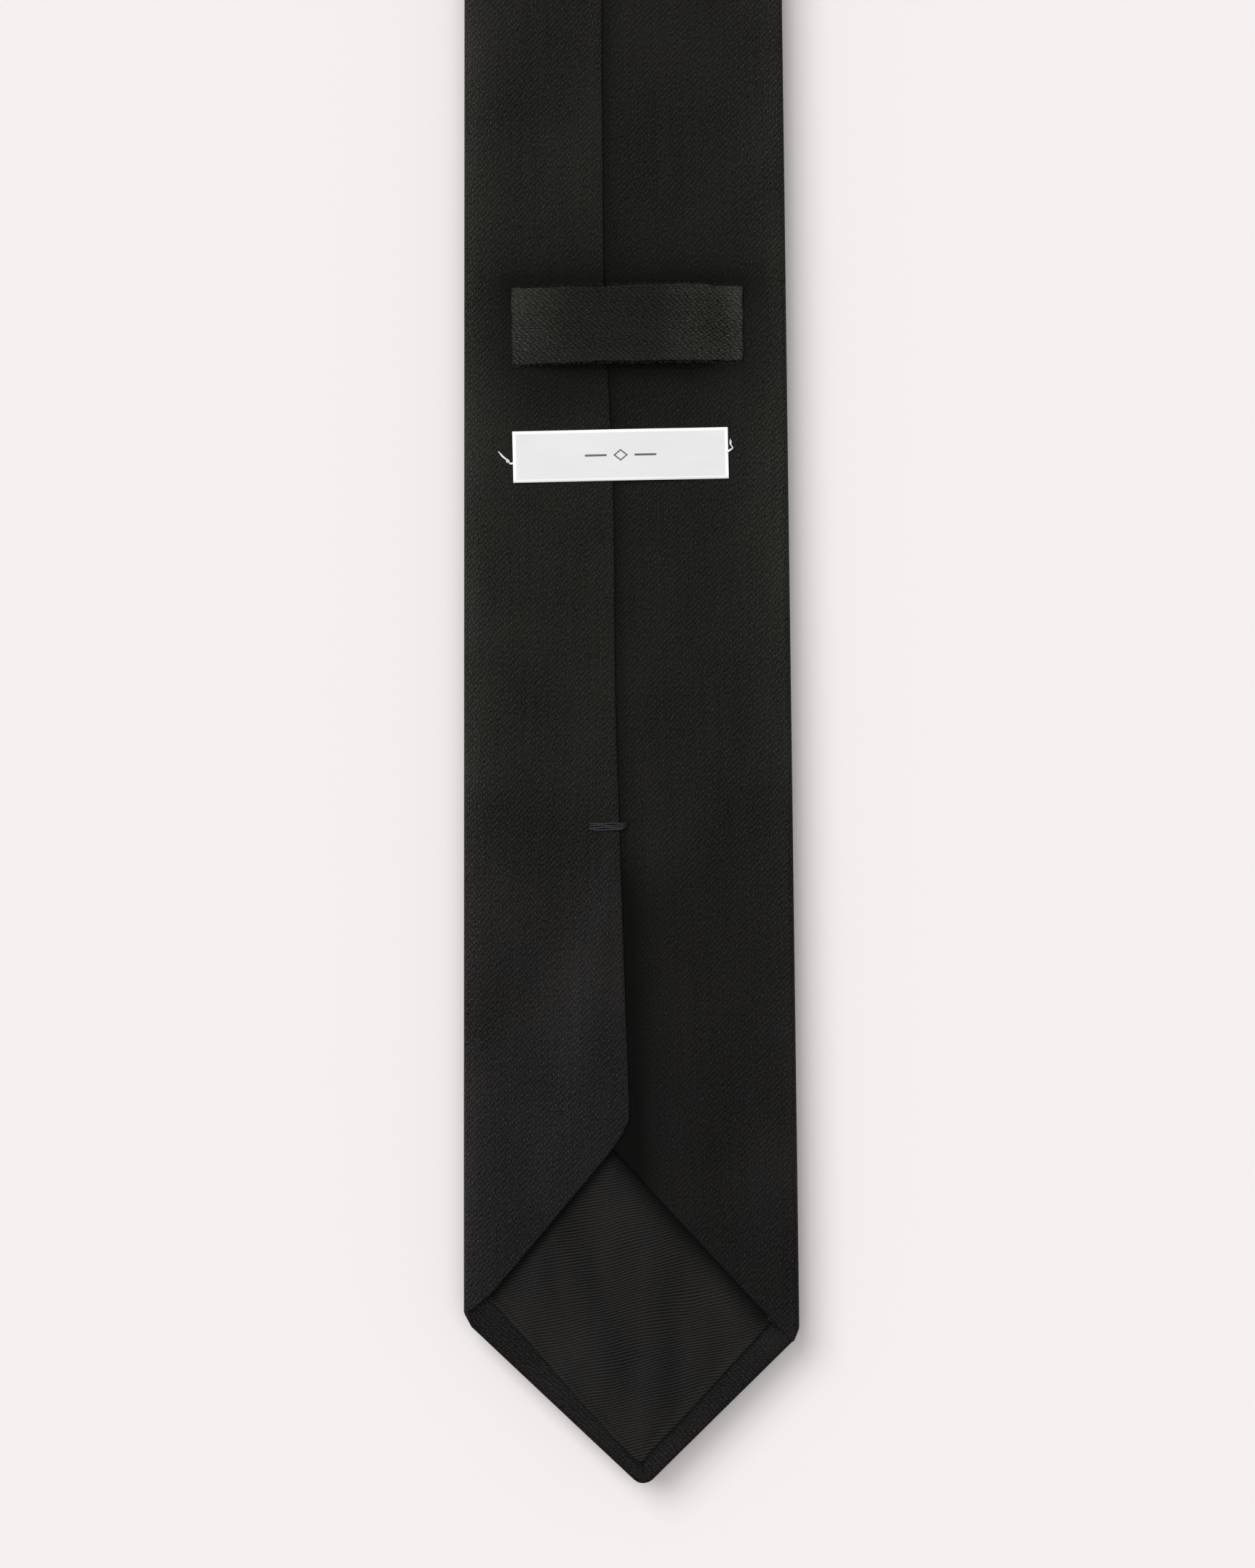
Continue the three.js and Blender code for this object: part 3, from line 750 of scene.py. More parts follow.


# The tube's grid: each point's reach and distance along the tie, laid in the section, lifted and folded, with
# its painted shading as the cloth's third value.
def tubeGrid(along, columns, shift=0.0, onHem=1.0, lift=None, paintedShadingOf=None):
    reach = reachAt(along, columns) + shift
    x, level, hemX, hemLevel = section(reach, halfWidth(along), seamLine(along))
    x = mix(hemX, x, onHem)
    level = mix(hemLevel, level, onHem)
    if lift is not None:
        level = level + lift(x, along, reach)
    # Painted shade and painted highlight, from the given function.
    paintedShading = 0 * x if paintedShadingOf is None else paintedShadingOf(x, along, reach)
    return place(x, along, level), np.stack([reach, along, paintedShading], -1), x


flapLift = {
    "height": 0.8,
    "from": 33,
    "risenBy": 51,
    "fallsFrom": 82,
    "to": 152,
    "ease": 7,  # across, from the rolled edge
}


# Both flaps stand proud of the lining beside the open window, and settle towards the bar tack.
def bladeLift(x, along, reach):
    rising = smooth((along - flapLift["from"]) / (flapLift["risenBy"] - flapLift["from"]))
    falling = smooth((flapLift["to"] - along) / (flapLift["to"] - flapLift["fallsFrom"]))
    onFlap = smooth((np.abs(reach) - bladeHalf - 0.5) / flapLift["ease"])
    return billow(x, along) + flapLift["height"] * rising * falling * onFlap


# Painted shade and painted highlights on the blade's back: amounts, and widths in millimetres.
paintedBladeLight = {
    "seamShade": [0.6, 0.75],  # above the bar tack, and below it
    "seamWide": [2.4, 5.0],
    "flapShade": [0.08, 0.15],
    "belowTackShade": 0.3,
    "belowWide": 24,
    "belowEase": 22,
    "loopShadow": [0.42, 0.84],  # below the loop, and above it
    "loopWide": 5.2,
    "loopHalf": [27.5, 9],
    "loopHaloShade": 0.16,
    "haloWide": 18,
    "patchShade": 0.3,
    "patchFrom": [-14, -16],  # from the loop's middle
    "patchHalf": [9, 6],
    "streakHighlight": 0.3,
    "streakWide": 4.6,
    "streakSlope": 0.19,
    "leftHighlight": 0.1,
    "leftEdge": 2.3,
    "leftEdgeWide": [2.4, 3.5],  # near the tip, and further up
    "rightEdge": 0.5,
    "rightEdgeWide": 2.5,
    "rightHighlight": 0.12,
    "rightWide": 11,
    "loopHighlight": 0.72,
    "loopBrightRun": 40,
    "aboveHighlight": 0.28,
}
loopAlong = loopCentre[1] - tipY


# A bell curve of the distance, one at nothing.
def bell(distance, power=2):
    return np.exp(-(distance**power))


# Painted shade beside the seam, most of all below the bar tack, and a painted shadow round the keeper loop
# with a painted dark patch below it to the left. A painted highlight streak runs down the left flap from the
# tack, and painted highlights brighten both flaps towards the rolled edges. Each falls off as a curve of the
# distance.
def bladePaintedShading(x, along, reach):
    fromEdge = np.abs(reach) - halfWidth(along) - 1
    onFlap = smooth(fromEdge / 3)
    onBack = smooth((fromEdge + 2) / 2) * beforeFold(along)
    fromEdge = np.maximum(fromEdge, 0)

    below = smooth((tackAt - along) / paintedBladeLight["belowEase"])
    gap = np.maximum(x - seamLine(along), 0)
    beside = mix(*paintedBladeLight["seamShade"], below) * bell(gap / mix(*paintedBladeLight["seamWide"], below), 1.4)
    beside = beside + paintedBladeLight["belowTackShade"] * below * bell(gap / paintedBladeLight["belowWide"], 1)
    beside = beside + mix(*paintedBladeLight["flapShade"], below)

    besideLoop = np.maximum(np.abs(x - loopCentre[0]) - paintedBladeLight["loopHalf"][0], 0)
    overLoop = np.maximum(np.abs(along - loopAlong) - paintedBladeLight["loopHalf"][1], 0)
    past = np.hypot(besideLoop, overLoop)
    above = smooth((along - loopAlong) / 12)
    around = mix(*paintedBladeLight["loopShadow"], above) * bell(past / paintedBladeLight["loopWide"], 1.5)
    around = around + paintedBladeLight["loopHaloShade"] * bell(past / paintedBladeLight["haloWide"])
    patchX = (x - loopCentre[0] - paintedBladeLight["patchFrom"][0]) / paintedBladeLight["patchHalf"][0]
    patchAlong = (along - loopAlong - paintedBladeLight["patchFrom"][1]) / paintedBladeLight["patchHalf"][1]
    around = around + paintedBladeLight["patchShade"] * bell(np.hypot(patchX, patchAlong))

    axis = tackX - (tackAt - along) * paintedBladeLight["streakSlope"]
    streak = bell((x - axis) / paintedBladeLight["streakWide"]) * below * smooth((along - 62) / 30)
    leftWide = mix(*paintedBladeLight["leftEdgeWide"], smooth((along - 140) / 50))
    leftHighlight = paintedBladeLight["leftEdge"] * bell(fromEdge / leftWide, 1)
    rightHighlight = paintedBladeLight["rightHighlight"] + paintedBladeLight["loopHighlight"] * bell((along - 240) / paintedBladeLight["loopBrightRun"])
    rightHighlight = rightHighlight + paintedBladeLight["aboveHighlight"] * smooth((along - 270) / 30)
    rightHighlight = rightHighlight * bell(fromEdge / paintedBladeLight["rightWide"])
    rightHighlight = rightHighlight + paintedBladeLight["rightEdge"] * bell(fromEdge / paintedBladeLight["rightEdgeWide"], 1)

    # Painted shade comes out positive, painted highlight negative.
    paintedShading = 1 - (1 - beside * (reach > 0)) * (1 - around)
    paintedShading = paintedShading - (paintedBladeLight["streakHighlight"] * streak + paintedBladeLight["leftHighlight"]) * (reach < 0)
    return paintedShading * onFlap - np.where(reach < 0, leftHighlight, rightHighlight) * onBack


mitre = {"step": 0.22, "slant": 0.4, "run": 5}
hemShadow = {"most": 0.55, "wide": 0.9}  # painted shadow on the hem beside the lining's border


# The blade's cloth, from the tip to the first slanting seam. At the tip one hem lies over the other, as a
# step that dies away to the right.
def bladeClothPiece():
    columns = clothColumns(bladeEnd["tipX"], bladeHalf)
    along, shift, onHem, reach, unrolled, margin = pointedRows(bladeEnd, columns, bladeHalf)
    away = reach - bladeEnd["tipX"]
    step = mitre["step"] * smooth(away / mitre["slant"] + 0.5) * np.exp(-np.maximum(away, 0) / mitre["run"])
    step = step * (np.abs(reach) < bladeHalf - 2)
    seams = [bladeSeamAt]
    stop = bladeSeamAt - tie["seamSlit"] / 2
    rows = rowStations(bladeEnd["straightFrom"] + 3, stop)
    rows = np.unique(np.concatenate([rows, stop - groove["rows"]]))
    upper = leaned(rows, seams, straightRow(stop, columns))
    along = np.concatenate([along, upper])
    blank = np.zeros_like(upper)
    shift = np.concatenate([shift, blank])
    onHem = np.concatenate([onHem, blank + 1])
    grid, cloth, x = tubeGrid(along, columns, shift, onHem, bladeLift, bladePaintedShading)
    grid[..., 2] += (1 - onHem) * step
    cloth[:len(unrolled), :, :2] = unrolled
    onFront = np.abs(reach) < bladeHalf
    # Painted shadow on the hem beside the lining's border.
    cloth[:len(unrolled), :, 2] += hemShadow["most"] * bell(margin / hemShadow["wide"]) * onFront
    sink = seamSink(along, x, seams, columns)
    return sheetPiece("bladeCloth", grid, tie["clothThick"], cloth, satin, sink)


# The neck's cloth, between the two slanting seams. Its rows lean over to each of them.
def neckClothPiece():
    columns = clothColumns(0, halfWidth(neckTo))
    seams = [bladeSeamAt, tailSeamAt]
    start, stop = bladeSeamAt + tie["seamSlit"] / 2, tailSeamAt - tie["seamSlit"] / 2
    rows = np.concatenate([rowStations(start, stop), start + groove["rows"], stop - groove["rows"]])
    rows = np.unique(rows)[:, None]
    startLean = smooth(1 - (rows - start) / tie["leanRun"]) * straightRow(start, columns)
    stopLean = smooth(1 - (stop - rows) / (stop - tailFrom - 2)) * straightRow(stop, columns)
    along = rows + np.where(rows < (start + stop) / 2, startLean, stopLean)
    grid, cloth, x = tubeGrid(along, columns)
    sink = seamSink(along, x, seams, columns)
    return sheetPiece("neckCloth", grid, tie["clothThick"], cloth, satin, sink)


# The tail's cloth, from the second slanting seam to its own tip. Its pointed rows are turned end for end.
def tailClothPiece():
    columns = clothColumns(tailEnd["tipX"], tailHalf)
    run, shift, onHem, reach, unrolled, margin = pointedRows(tailEnd, columns, tailHalf)
    start = tailSeamAt + tie["seamSlit"] / 2
    rows = np.linspace(start, tieLength - tailEnd["straightFrom"] - 3, 110)
    rows = np.unique(np.concatenate([rows, start + groove["rows"]]))
    lower = leaned(rows, [start], straightRow(start, columns))
    along = np.concatenate([lower, (tieLength - run)[::-1]])
    blank = np.zeros_like(lower)
    grid, cloth, x = tubeGrid(
        along, columns, np.concatenate([blank, shift[::-1]]), np.concatenate([blank + 1, onHem[::-1]]),
    )
    cloth[-len(unrolled):, :, 0] = unrolled[::-1, :, 0]
    cloth[-len(unrolled):, :, 1] = tieLength - unrolled[::-1, :, 1]
    sink = seamSink(along, x, [tailSeamAt], columns)
    return sheetPiece("tailCloth", grid, tie["clothThick"], cloth, satin, sink)


bladeCloth, bladeArea = bladeClothPiece()
neckCloth, neckArea = neckClothPiece()
tailCloth, tailArea = tailClothPiece()
print("cloth made")


# Linings inside the tube.
tipping = {
    "thick": 0.2,
    "side": 1.7,
    "level": 2.12,
    "border": 2.7,  # level of its edge, on top of the hem
    "bladeRun": 125,
    "tailRun": 70,
    "tipRound": 0.8,
    "openLift": 0.16,
    "coveredDrop": 0.12,
    "broadPucker": 0.16,
    "finePucker": 0.1,
    "rightFlapShadow": 3.0,  # how far in the painted shadow beside each flap reaches
    "leftFlapShadow": 2.0,
    # painted highlight along the lining's border
    "borderHighlight": 0.35,
    "square": 0.68,  # turns a distance along the tie into one square to the flap's edge
}


# A flat lining in a pointed end. Its edge runs beside the point's, and soft upright puckers lift it in the
# open window, while under the flaps it lies flat. Painted shadow darkens it beside each flap's edge, and a
# painted highlight runs along its border.
def tippingPiece(name, end, half, runTo, toAlong, lift):
    across = np.linspace(-1, 1, 121) * (half - tipping["side"])
    away = across - end["tipX"]
    slope = np.where(away < 0, end["leftSlope"], end["rightSlope"])
    inset = hemShown(end, away, half)
    bottom = pointEdge({**end, "tipRound": tipping["tipRound"]}, across) + inset * np.hypot(1, slope)
    up = np.concatenate([np.linspace(0, 0.06, 9), np.linspace(0.06, 1, 70)[1:]])[:, None]
    run = mix(bottom, runTo, up)
    x = across + 0 * run
    leftEdge = flapEdge(x, end["leftFlapX"], end["leftFlapAlong"])
    rightEdge = flapEdge(x, end["rightFlapX"], end["rightFlapAlong"])
    opened = smooth((np.minimum(leftEdge, rightEdge) - run) / 6)
    pucker = tipping["broadPucker"] * np.sin(x / 4.3 + 0.6 * np.sin(run / 14))
    pucker = pucker + tipping["finePucker"] * np.sin(x / 2.3 - run / 19 + 1.0)
    nearEdge = run - bottom
    onHem = 1 - smooth((nearEdge - 0.6) / 2.2)
    inside = tipping["level"] + opened * (tipping["openLift"] + pucker * smooth(nearEdge / 5))
    inside = inside - tipping["coveredDrop"] * (1 - opened)
    level = mix(inside, tipping["border"], onHem)
    along = toAlong(run)
    if along[0, 0] > along[-1, 0]:
        x, along, level, run = x[::-1], along[::-1], level[::-1], run[::-1]
        leftEdge, rightEdge, nearEdge = leftEdge[::-1], rightEdge[::-1], nearEdge[::-1]
    grid = place(x, along, level + lift(x, along))
    # Painted shadow beside each flap's edge, stronger at the right flap, and a painted highlight along the
    # border.
    fromRight = np.maximum(rightEdge - run, 0) * tipping["square"]
    fromLeft = np.maximum(leftEdge - run, 0) * tipping["square"]
    besideRight = bell(fromRight / tipping["rightFlapShadow"], 1.8)
    besideLeft = 0.7 * bell(fromLeft / tipping["leftFlapShadow"])
    paintedShading = 1 - (1 - besideRight) * (1 - besideLeft) - tipping["borderHighlight"] * bell(nearEdge / 0.6)
    return sheetPiece(name, grid, tipping["thick"], np.stack([x, run, paintedShading], -1), lining)


bladeTipping, bladeTippingArea = tippingPiece(
    "bladeTipping", bladeEnd, bladeHalf, tipping["bladeRun"], lambda run: run, billow,
)
tailTipping, tailTippingArea = tippingPiece(
    "tailTipping", tailEnd, tailHalf, tipping["tailRun"], lambda run: tieLength - run, flatLift,
)

canvas = {
    "level": 1.5,
    "thick": 0.8,
    "side": 1.1,
    "tipInset": 2.2624,
    "spacing": 6,
    "bendGap": 0.14,  # share of a bend, each way from its middle
}


# Stations of the canvas. It spans the middle of each bend in one step, so that it stays inside the cloth
# when the fold is opened.
def canvasStations(start, stop):
    stations = rowStations(start, stop, canvas["spacing"])
    for fold in (bladeRun, neckTo):
        stations = stations[np.abs((stations - fold) / bendRun - 0.5) > canvas["bendGap"]]
    return stations


# Wool canvas: a strip as wide as the inside of the tube, pointed at the tips.
def canvasPiece(name, start, stop, end=None):
    share = np.linspace(-1, 1, 25)
    if end is None:
        along = canvasStations(start, stop)[:, None] + 0 * share
    else:
        half = halfWidth(start if end is bladeEnd else stop)
        point = pointEdge(end, share * (half - canvas["side"])) + canvas["tipInset"]
        near = mix(point, end["straightFrom"], np.linspace(0, 1, 20)[:, None])
        if end is bladeEnd:
            rest = canvasStations(end["straightFrom"] + 5, stop)[:, None] + 0 * share
            along = np.concatenate([near, rest])
        else:
            rest = canvasStations(start, tieLength - end["straightFrom"] - 5)[:, None] + 0 * share
            along = np.concatenate([rest, tieLength - near[::-1]])
    x = share * (halfWidth(along) - canvas["side"])
    grid = place(x, along, canvas["level"] + billow(x, along))
    return sheetPiece(name, grid, canvas["thick"], np.stack([x, along], -1), wool)


bladeWool, bladeWoolArea = canvasPiece("bladeWool", 0.0, neckFrom, bladeEnd)
neckWool, neckWoolArea = canvasPiece("neckWool", neckFrom + 0.2, tailFrom)
tailWool, tailWoolArea = canvasPiece("tailWool", tailFrom + 0.2, tieLength, tailEnd)
print("linings made")


# Threads inside and on the tube.
rng = np.random.default_rng(7)


slipStitch = {"pitch": 9, "clear": 0.7, "sway": 0.25, "level": 2.45, "dip": 0.2, "radius": 0.17, "end": 12}


# The slip stitch closes the back from inside: a slack thread that winds through the canvas.
def slipStitchPiece(name, start, stop):
    along = np.arange(start, stop, 1.0)
    turn = along * 2 * np.pi / slipStitch["pitch"]
    x = seamLine(along) - tie["overlap"] - slipStitch["clear"] + slipStitch["sway"] * np.sin(turn)
    level = slipStitch["level"] + slipStitch["dip"] * np.cos(turn)
    path = place(x, along, level + billow(x, along))
    return strandPiece(name, path[None], slipStitch["radius"], darkThread, 5)


joiningStitch = {"pitch": 2.4, "half": 0.75, "level": 0.34, "bow": 0.12, "radius": 0.13, "end": 3}


# Small stitches in the groove of a slanting seam, each a shallow bow.
def joiningStitchPiece(name, at):
    half = halfWidth(at) - joiningStitch["end"]
    centre = np.arange(-half, half, joiningStitch["pitch"])
    share = np.linspace(-1, 1, 7)
    x = centre[:, None] + share * joiningStitch["half"]
    level = joiningStitch["level"] - joiningStitch["bow"] * (1 - share**2) + 0 * x
    return strandPiece(name, place(x, at + x, level), joiningStitch["radius"], darkThread, 5)


tack = {
    "strands": 4,
    "pitch": 0.5,
    "radius": 0.27,
    "level": 0.28,  # above the cloth
    "dive": 0.55,  # down into the holes
    "bow": 0.08,
    "curl": 0.7,
    "bladeLonger": 0.8,
    "bladeLeft": 0.3,
}


# A bar tack: strands side by side over the seam, bowed up between their two holes.
def barTackPiece(name, centreX, centreAlong, length, topLevel, lift):
    share = np.linspace(-1, 1, 25)
    number = np.arange(tack["strands"])[:, None]
    offset = (number - (tack["strands"] - 1) / 2) * tack["pitch"]
    pinch = 1 - 0.35 * smooth(share * 2 - 0.8) - 0.2 * smooth(-share * 2 - 1)
    x = centreX + share * (length / 2 - 0.15 * (number % 2)) + 0.05 * np.sin(7 * number)
    curl = tack["curl"] * smooth(share * 2 - 1) ** 2
    along = centreAlong + offset * pinch + curl + 0.08 * np.sin(share * 5 + number * 2)
    bow = tack["bow"] * (1 - share**2) - tack["dive"] * np.abs(share) ** 6
    level = topLevel(x) + tack["level"] + bow + lift(x, along)
    return strandPiece(name, place(x, along, level), tack["radius"], darkThread, 7, 0.6)


# Level of the top of the closed back: the left flap's, falling to the right flap's past the seam.
def backLevel(x, along, ease=1.2):
    fall = smooth((x - seamLine(along)) / ease)
    return tieThick - (tieThick - 2 * tie["rightRoll"]) * fall


bladeBarTack = barTackPiece(
    "bladeBarTack", tackX - tack["bladeLeft"], tackAt, tackHigh[0] - tackLow[0] + tack["bladeLonger"],
    lambda x: backLevel(x, tackAt, 3.5), billow,
)
tailTackLow, tailTackHigh = nodeBox("tail_bar_tack")
tailTackX = (tailTackLow[0] + tailTackHigh[0]) / 2
tailTackAt = (tailTackLow[1] + tailTackHigh[1]) / 2 - secondFoldY + tailFrom
tailBarTack = barTackPiece(
    "tailBarTack", tailTackX, tailTackAt, tailTackHigh[0] - tailTackLow[0],
    lambda x: 2 * tie["rightRoll"] - 0.1 + 0 * x, flatLift,
)

bladeSlipStitch = slipStitchPiece("bladeSlipStitch", tackAt + slipStitch["end"], bladeRun - 1)
neckSlipStitch = slipStitchPiece("neckSlipStitch", neckFrom + 1, neckTo - 1)
tailSlipStitch = slipStitchPiece("tailSlipStitch", tailFrom + 1, tailTackAt - slipStitch["end"])
bladeJoiningStitch = joiningStitchPiece("bladeJoiningStitch", bladeSeamAt)
tailJoiningStitch = joiningStitchPiece("tailJoiningStitch", tailSeamAt)


# Loose ends of fibre: each starts at a root, heads off in steps and curls.
def fibrePaths(roots, heading, length, curl):
    share = np.linspace(0, 1, 5)
    count = len(roots)
    turned = heading + rng.uniform(-1, 1, count) * curl
    bend = rng.uniform(-1.2, 1.2, count)
    size = length * rng.uniform(0.35, 1, count)
    angle = turned[:, None] + bend[:, None] * share
    stepX = np.cumsum(np.cos(angle) * size[:, None] / 5, 1)
    stepY = np.cumsum(np.sin(angle) * size[:, None] / 5, 1)
    rise = share * rng.uniform(-0.1, 0.25, count)[:, None]
    return roots[:, None] + np.stack([stepX, stepY, rise], -1)


tuft = {"count": 9, "half": 0.7, "length": 1.3, "curl": 0.9, "radius": 0.07}
tuftRoots = np.stack([
    np.full(tuft["count"], tackLow[0] + 0.3),
    tipY + tackAt + rng.uniform(-tuft["half"], tuft["half"], tuft["count"]),
    np.full(tuft["count"], bladeHigh[2] + 0.35),
], -1)
tuftPaths = fibrePaths(tuftRoots, np.pi, tuft["length"], tuft["curl"])
bladeTackTuft = strandPiece("bladeTackTuft", tuftPaths, tuft["radius"], darkThread, 4)

# Keeper loop.
loop = {
    "turn": np.radians(0.5),
    "span": 55,
    "height": 18.2,
    "band": 0.75,
    "flank": 17,  # tab and rising end together
    "tab": 0.8,
    "ease": 14,  # over which it bridges the step at the seam
    "closeRows": np.array([0, 0.05, 0.15, 0.3, 0.5, 0.8, 1.2]),  # from each end
    "rows": 46,
    "flatColumns": 25,
    "bowColumns": 9,
    "sag": 0.3,
    "uneven": [(0.010, 5.1, 0), (0.008, 2.3, 1), (0.006, 0.9, 0)],  # size, run and start of each wave
    "clothAt": [12, 250],  # where its cloth was cut, across and along
    # Painted highlights on the loop: overall, on its rising flanks, at its ends, and more at its right and
    # left ends.
    "paintedHighlight": 0.1,
    "flankHighlight": 0.35,
    "endHighlight": 0.6,
    "rightHighlight": 1.35,
    "leftHighlight": 0.8,
}
loopRise = loopHigh[2] - loopLow[2] - 0.8


# Turns a place on a piece about its centre, into a place on the tie.
def turnedPlace(x, y, centre, angle):
    return (
        centre[0] + x * np.cos(angle) - y * np.sin(angle),
        centre[1] + x * np.sin(angle) + y * np.cos(angle),
    )


# The loop's ends rise over the flank, along an S.
def loopLift(inward):
    return smooth((inward - loop["tab"]) / (loop["flank"] - loop["tab"]))


# The loop is a flat tube of cloth carried along an arch: level tabs, rising ends, level middle. Its
# section is two flats joined by half circles, and its ends are tucked in to a rounded close.
def keeperLoopPiece():
    half = loop["span"] / 2
    path = np.unique(np.concatenate([
        half - loop["closeRows"],
        np.linspace(0, half - 1.6, loop["rows"]),
    ]))
    path = np.concatenate([-path[::-1], path[1:]])
    inward = half - np.abs(path)
    lift = loopLift(inward)
    plump = np.sqrt(np.clip(1 - (1 - np.minimum(inward / 0.5, 1)) ** 2, 0.02, 1))
    flat = np.linspace(-1, 1, loop["flatColumns"])
    bow = np.linspace(-np.pi / 2, np.pi / 2, loop["bowColumns"])
    radius = loop["band"] / 2
    sideY = loop["height"] / 2 - radius
    bottom, top = flat[:-1] * sideY, -flat[1:-1] * sideY
    bulge = sideY + radius * np.cos(bow)
    across = np.concatenate([bottom, bulge, top, -bulge])
    bottom, top = np.full(len(bottom), -radius), np.full(len(top), radius)
    height = np.concatenate([bottom, radius * np.sin(bow), top, -radius * np.sin(bow)])
    sag = loop["sag"] * (1 - (across / sideY) ** 2) * (0.3 + 0.7 * lift[:, None])
    wobble = 1 + sum(size * np.sin(path / run + start) for size, run, start in loop["uneven"])
    tuck = 1 - 0.03 * np.exp(-inward / 0.6)
    y = across * (wobble * tuck)[:, None] + 0.12 * np.sin(path / 9)[:, None]
    base = backLevel(loopCentre[0] + path, loopAlong + 0 * path, loop["ease"]) + bladeLow[2]
    base = base + billow(loopCentre[0] + path, loopAlong) + 0.1
    ground = mix(base, loopLow[2], smooth(lift * 1.5))
    z = (ground + loopRise * lift)[:, None] + radius + height * plump[:, None] - sag * 0.5
    x = path[:, None] + 0 * across + 0.12 * np.sin(y * 0.9) * np.exp(-inward / 2)[:, None]
    worldX, worldY = turnedPlace(x, y, loopCentre, loop["turn"])
    points = np.stack([worldX, worldY, z], -1)[:, ::-1]
    rows, columns = points.shape[:2]
    corner = np.arange(rows - 1)[:, None] * columns
    here, there = np.arange(columns), np.roll(np.arange(columns), -1)
    quads = np.stack([corner + here, corner + columns + here, corner + columns + there, corner + there], -1)
    caps = [np.arange(columns).tolist(), ((rows - 1) * columns + np.arange(columns))[::-1].tolist()]
    # Painted highlight, stored as negative painted shading: lighter on the flanks and ends, most of all at
    # the right end.
    paintedHighlight = loop["paintedHighlight"] + loop["flankHighlight"] * smooth(1 - inward / loop["flank"])
    paintedHighlight = paintedHighlight + loop["endHighlight"] * smooth(1 - inward / 6)
    paintedHighlight = paintedHighlight + loop["rightHighlight"] * smooth((path - 6) / 11)
    paintedHighlight = paintedHighlight + loop["leftHighlight"] * smooth((-path - 12) / 9)
    spread = across[::-1] + loop["clothAt"][0]
    run = path + loop["clothAt"][1]
    cloth = np.stack(np.broadcast_arrays(spread, run[:, None], -paintedHighlight[:, None]), -1)
    return makePiece("keeperLoop", points, quads.reshape(-1, 4).tolist() + caps, satin, cloth)


keeperLoop = keeperLoopPiece()


# Height of the loop's top along its span.
def loopTop(x):
    return loopLow[2] + loopRise * loopLift(loop["span"] / 2 - np.abs(x)) + loop["band"] / 2


fuzz = {
    "count": 460,
    "atCorner": 50,
    "corner": 1.6,
    "length": 0.75,
    "curl": 1.1,
    "radius": 0.06,
    # painted highlight on the fibres
    "paintedHighlight": 3.0,
}


# Fibres along both edges of the loop, and more at its lower left corner, painted lighter than the satin as a
# painted highlight.
def loopFuzzPiece():
    x = rng.uniform(-1, 1, fuzz["count"]) * loop["span"] / 2
    side = np.where(rng.uniform(0, 1, fuzz["count"]) < 0.5, -1, 1)
    x[:fuzz["atCorner"]] = -loop["span"] / 2 + rng.uniform(0, fuzz["corner"], fuzz["atCorner"])
    side[:fuzz["atCorner"]] = -1
    worldX, worldY = turnedPlace(x, side * loop["height"] / 2, loopCentre, loop["turn"])
    roots = np.stack([worldX, worldY, loopTop(x)], -1)
    paths = fibrePaths(roots, side * np.pi / 2, fuzz["length"], fuzz["curl"])
    return strandPiece("loopFuzz", paths, fuzz["radius"], satin, 3, paintedShading=-fuzz["paintedHighlight"])


loopFuzz = loopFuzzPiece()


loopStitch = {"count": 6, "reach": 6, "inside": 0.7, "length": 0.9, "slant": 0.5, "rise": 0.75, "radius": 0.1}


# Slanting stitches over one end of the loop, each half a sine high.
def loopStitchPiece(name, side):
    y = np.linspace(-1, 1, loopStitch["count"])[:, None] * loopStitch["reach"]
    share = np.linspace(0, 1, 9)
    x = side * (loop["span"] / 2 - loopStitch["inside"] + loopStitch["length"] * share) + 0 * y
    worldX, worldY = turnedPlace(x, y + loopStitch["slant"] * share, loopCentre, loop["turn"])
    along = worldY - tipY
    ground = bladeLow[2] + backLevel(worldX, along, loop["ease"]) + billow(worldX, along)
    z = ground + 0.1 + loopStitch["rise"] * np.sin(np.pi * share) * (1 - 0.45 * share)
    return strandPiece(name, np.stack([worldX, worldY, z], -1), loopStitch["radius"], darkThread, 5)


loopStitchLeft = loopStitchPiece("loopStitchLeft", -1)
loopStitchRight = loopStitchPiece("loopStitchRight", 1)
print("loop made")

# Label.
labelLow, labelHigh = nodeBox("label")
label = {
    "length": 51.3,
    "height": 12.2,
    "turn": np.radians(0.9),
    "thick": 0.22,
    "roll": 0.2,
    "under": 4,  # turned under at each end
    "ease": 26,  # over which it bridges the step at the seam
    "columns": 72,
    "cockle": 0.07,
    "endCockle": 0.12,
}
labelCentre = (labelLow + labelHigh) / 2


# Level of what the label lies on.
def labelGround(worldX, worldY):
    along = worldY - tipY
    return bladeLow[2] + backLevel(worldX, along, label["ease"]) + billow(worldX, along)


